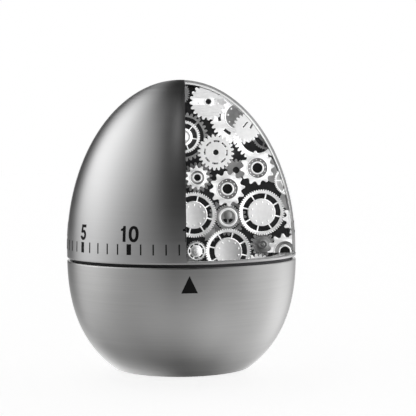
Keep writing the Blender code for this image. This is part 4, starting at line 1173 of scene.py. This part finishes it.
# What the steel reflects, by azimuth and elevation. These 198 values were fitted by another program to a
# picture's brightness and then rounded by a script. They were not set by hand.
AZIMUTHS = (-180, -160, -140, -125, -110, -95, -80, -65, -50, -35, -20, -8, 4, 20, 40, 60, 80, 100, 120, 140, 160, 180)
ELEVATIONS = (-88, -70, -52, -35, -20, 0, 20, 45, 70)
STUDIO = (
    (0.003, 0.003, 0.003, 0.003, 0.0047, 0.015, 0.031, 0.045, 0.064, 0.074, 0.077,
     0.068, 0.074, 0.081, 0.091, 0.092, 0.065, 0.027, 0.004, 0.003, 0.003, 0.003),
    (0.003, 0.003, 0.003, 0.003, 0.012, 0.053, 0.11, 0.15, 0.18, 0.17, 0.16,
     0.16, 0.18, 0.21, 0.25, 0.3, 0.28, 0.14, 0.014, 0.003, 0.003, 0.003),
    (0.13, 2.3, 0.0042, 0.08, 0.33, 0.39, 0.41, 0.42, 0.49, 0.55, 0.6,
     0.67, 0.74, 0.86, 0.92, 0.84, 0.81, 0.82, 0.86, 0.11, 0.014, 0.13),
    (2.5, 2.1, 0.025, 0.28, 0.48, 0.48, 0.47, 0.5, 0.58, 0.73, 0.89,
     0.94, 0.87, 0.99, 1.1, 0.88, 0.75, 0.8, 1.1, 0.79, 0.18, 2.5),
    (4, 0.95, 0.41, 0.93, 0.78, 0.71, 0.63, 0.52, 0.51, 0.61, 0.55,
     0.26, 0.47, 0.34, 0.53, 0.62, 0.78, 1, 1.5, 1.4, 0.58, 4),
    (1.8, 0.0079, 0.091, 0.48, 0.86, 0.96, 0.74, 0.5, 0.33, 0.2, 0.055,
     0.003, 0.003, 0.058, 0.21, 0.45, 0.92, 0.92, 1.1, 0.78, 0.35, 1.8),
    (0.079, 0.003, 0.38, 1.9, 1.8, 1.6, 1.2, 0.82, 0.49, 0.29, 0.068,
     0.003, 0.003, 0.031, 0.21, 0.45, 0.92, 0.92, 1.1, 0.78, 0.35, 0.079),
    (0.0043, 0.049, 1.2, 1.9, 1.6, 1.4, 1.2, 1, 0.79, 0.47, 0.098,
     0.003, 0.003, 0.0037, 0.074, 0.45, 0.92, 0.92, 1.1, 0.27, 0.0069, 0.0043),
    (0.013, 0.0032, 0.014, 0.079, 0.18, 0.28, 0.32, 0.25, 0.14, 0.04, 0.025,
     1, 0.021, 0.0044, 0.0044, 0.0044, 0.46, 0.46, 0.0084, 0.0084, 0.0084, 0.013),
)


class WorldNodes:
    def __init__(self):
        world = bpy.data.worlds.new("studio")
        bpy.context.scene.world = world
        world.use_nodes = True
        self.tree = world.node_tree
        self.tree.nodes.clear()

    def add(self, kind, **fields):
        node = self.tree.nodes.new(kind)
        for key, value in fields.items():
            setattr(node, key, value)
        return node

    def link(self, output, socket):
        self.tree.links.new(output, socket)

    def calc(self, operation, a, b=0.0, clamp=False):
        node = self.add("ShaderNodeMath", operation=operation, use_clamp=clamp)
        for index, value in enumerate((a, b)):
            if hasattr(value, "is_output"):
                self.link(value, node.inputs[index])
            else:
                node.inputs[index].default_value = value
        return node.outputs[0]

    def background(self, strength):
        node = self.add("ShaderNodeBackground")
        node.inputs["Color"].default_value = (1.0, 1.0, 1.0, 1.0)
        if hasattr(strength, "is_output"):
            self.link(strength, node.inputs["Strength"])
        else:
            node.inputs["Strength"].default_value = strength
        return node.outputs[0]

    def mix(self, factor, a, b):
        node = self.add("ShaderNodeMixShader")
        self.link(factor, node.inputs[0])
        self.link(a, node.inputs[1])
        self.link(b, node.inputs[2])
        return node.outputs[0]


def build_world():
    """A white room for the eye, an even dome of light, and a table of brightness by azimuth and elevation that
    polished metal mirrors.
    """
    w = WorldNodes()
    split = w.add("ShaderNodeSeparateXYZ")
    w.link(w.add("ShaderNodeTexCoord").outputs["Generated"], split.inputs[0])
    x, y, z = split.outputs
    azimuth = w.calc("DIVIDE", w.calc("ARCTAN2", x, w.calc("MULTIPLY", y, -1.0)), 2 * math.pi)
    place = w.calc("ADD", azimuth, 0.5)
    elevation = w.calc("MULTIPLY", w.calc("ARCSINE", z), 180 / math.pi)
    rows = []
    for values in STUDIO:
        ramp = w.add("ShaderNodeValToRGB")
        elements = ramp.color_ramp.elements
        while len(elements) < len(values):
            elements.new(0.5)
        for element, degrees, value in zip(elements, AZIMUTHS, values):
            element.position = (degrees + 180) / 360
            element.color = (value / 4, value / 4, value / 4, 1.0)
        w.link(place, ramp.inputs["Fac"])
        rows.append(w.calc("MULTIPLY", ramp.outputs["Color"], 4.0))
    studio = rows[0]
    for index in range(1, len(rows)):
        low, high = ELEVATIONS[index - 1], ELEVATIONS[index]
        share = w.calc("DIVIDE", w.calc("SUBTRACT", elevation, float(low)), float(high - low), clamp=True)
        step = w.calc("MULTIPLY", share, w.calc("SUBTRACT", rows[index], studio))
        studio = w.calc("ADD", studio, step)
    rays = w.add("ShaderNodeLightPath")
    even = w.background(EVEN_LIGHT)
    lit = w.mix(rays.outputs["Is Glossy Ray"], even, w.background(studio))
    seen = w.mix(rays.outputs["Is Camera Ray"], lit, w.background(1.0))
    output = w.add("ShaderNodeOutputWorld")
    w.link(seen, output.inputs[0])


def build_lights():
    """A strip light at the right that gives the wheels their shading and leaves the floor alone."""
    data = bpy.data.lights.new("right_strip", "AREA")
    data.shape = "RECTANGLE"
    data.size = data.size_y = 0.3
    data.energy = 9.0
    data.use_shadow = False
    light = bpy.data.objects.new("right_strip", data)
    bpy.context.scene.collection.objects.link(light)
    light.location = (0.599, -0.105, 0.110)
    aim = Vector((0.012, -0.001, 0.048)) - light.location
    light.rotation_euler = aim.to_track_quat("-Z", "Y").to_euler()
    light.visible_glossy = False
    spared = bpy.data.collections.new("not_lit_by_right_strip")
    spared.objects.link(bpy.data.objects["studio_floor"])
    light.light_linking.receiver_collection = spared
    spared.collection_objects[0].light_linking.link_state = "EXCLUDE"


def build_camera():
    data = bpy.data.cameras.new("camera")
    data.lens = 103.7
    data.sensor_width = 36.0
    data.clip_start = 0.01
    data.clip_end = 50.0
    camera = bpy.data.objects.new("camera", data)
    bpy.context.scene.collection.objects.link(camera)
    camera.location = (0.0, -0.315, 0.0550)
    aim = Vector((0.00703, 0.0, 0.04286)) - camera.location
    roll = Matrix.Rotation(math.radians(-0.463), 3, "Z")
    camera.rotation_euler = (aim.to_track_quat("-Z", "Y").to_matrix() @ roll).to_euler()
    bpy.context.scene.camera = camera


def main():
    bpy.context.scene.view_settings.view_transform = "Standard"
    build_camera()
    build_dial()
    build_cup()
    build_gap_ring()
    build_scale()
    build_pointer()
    build_wheels()
    build_reliefs()
    build_plate()
    dress_cad()
    build_stage()
    build_world()
    build_lights()


main()
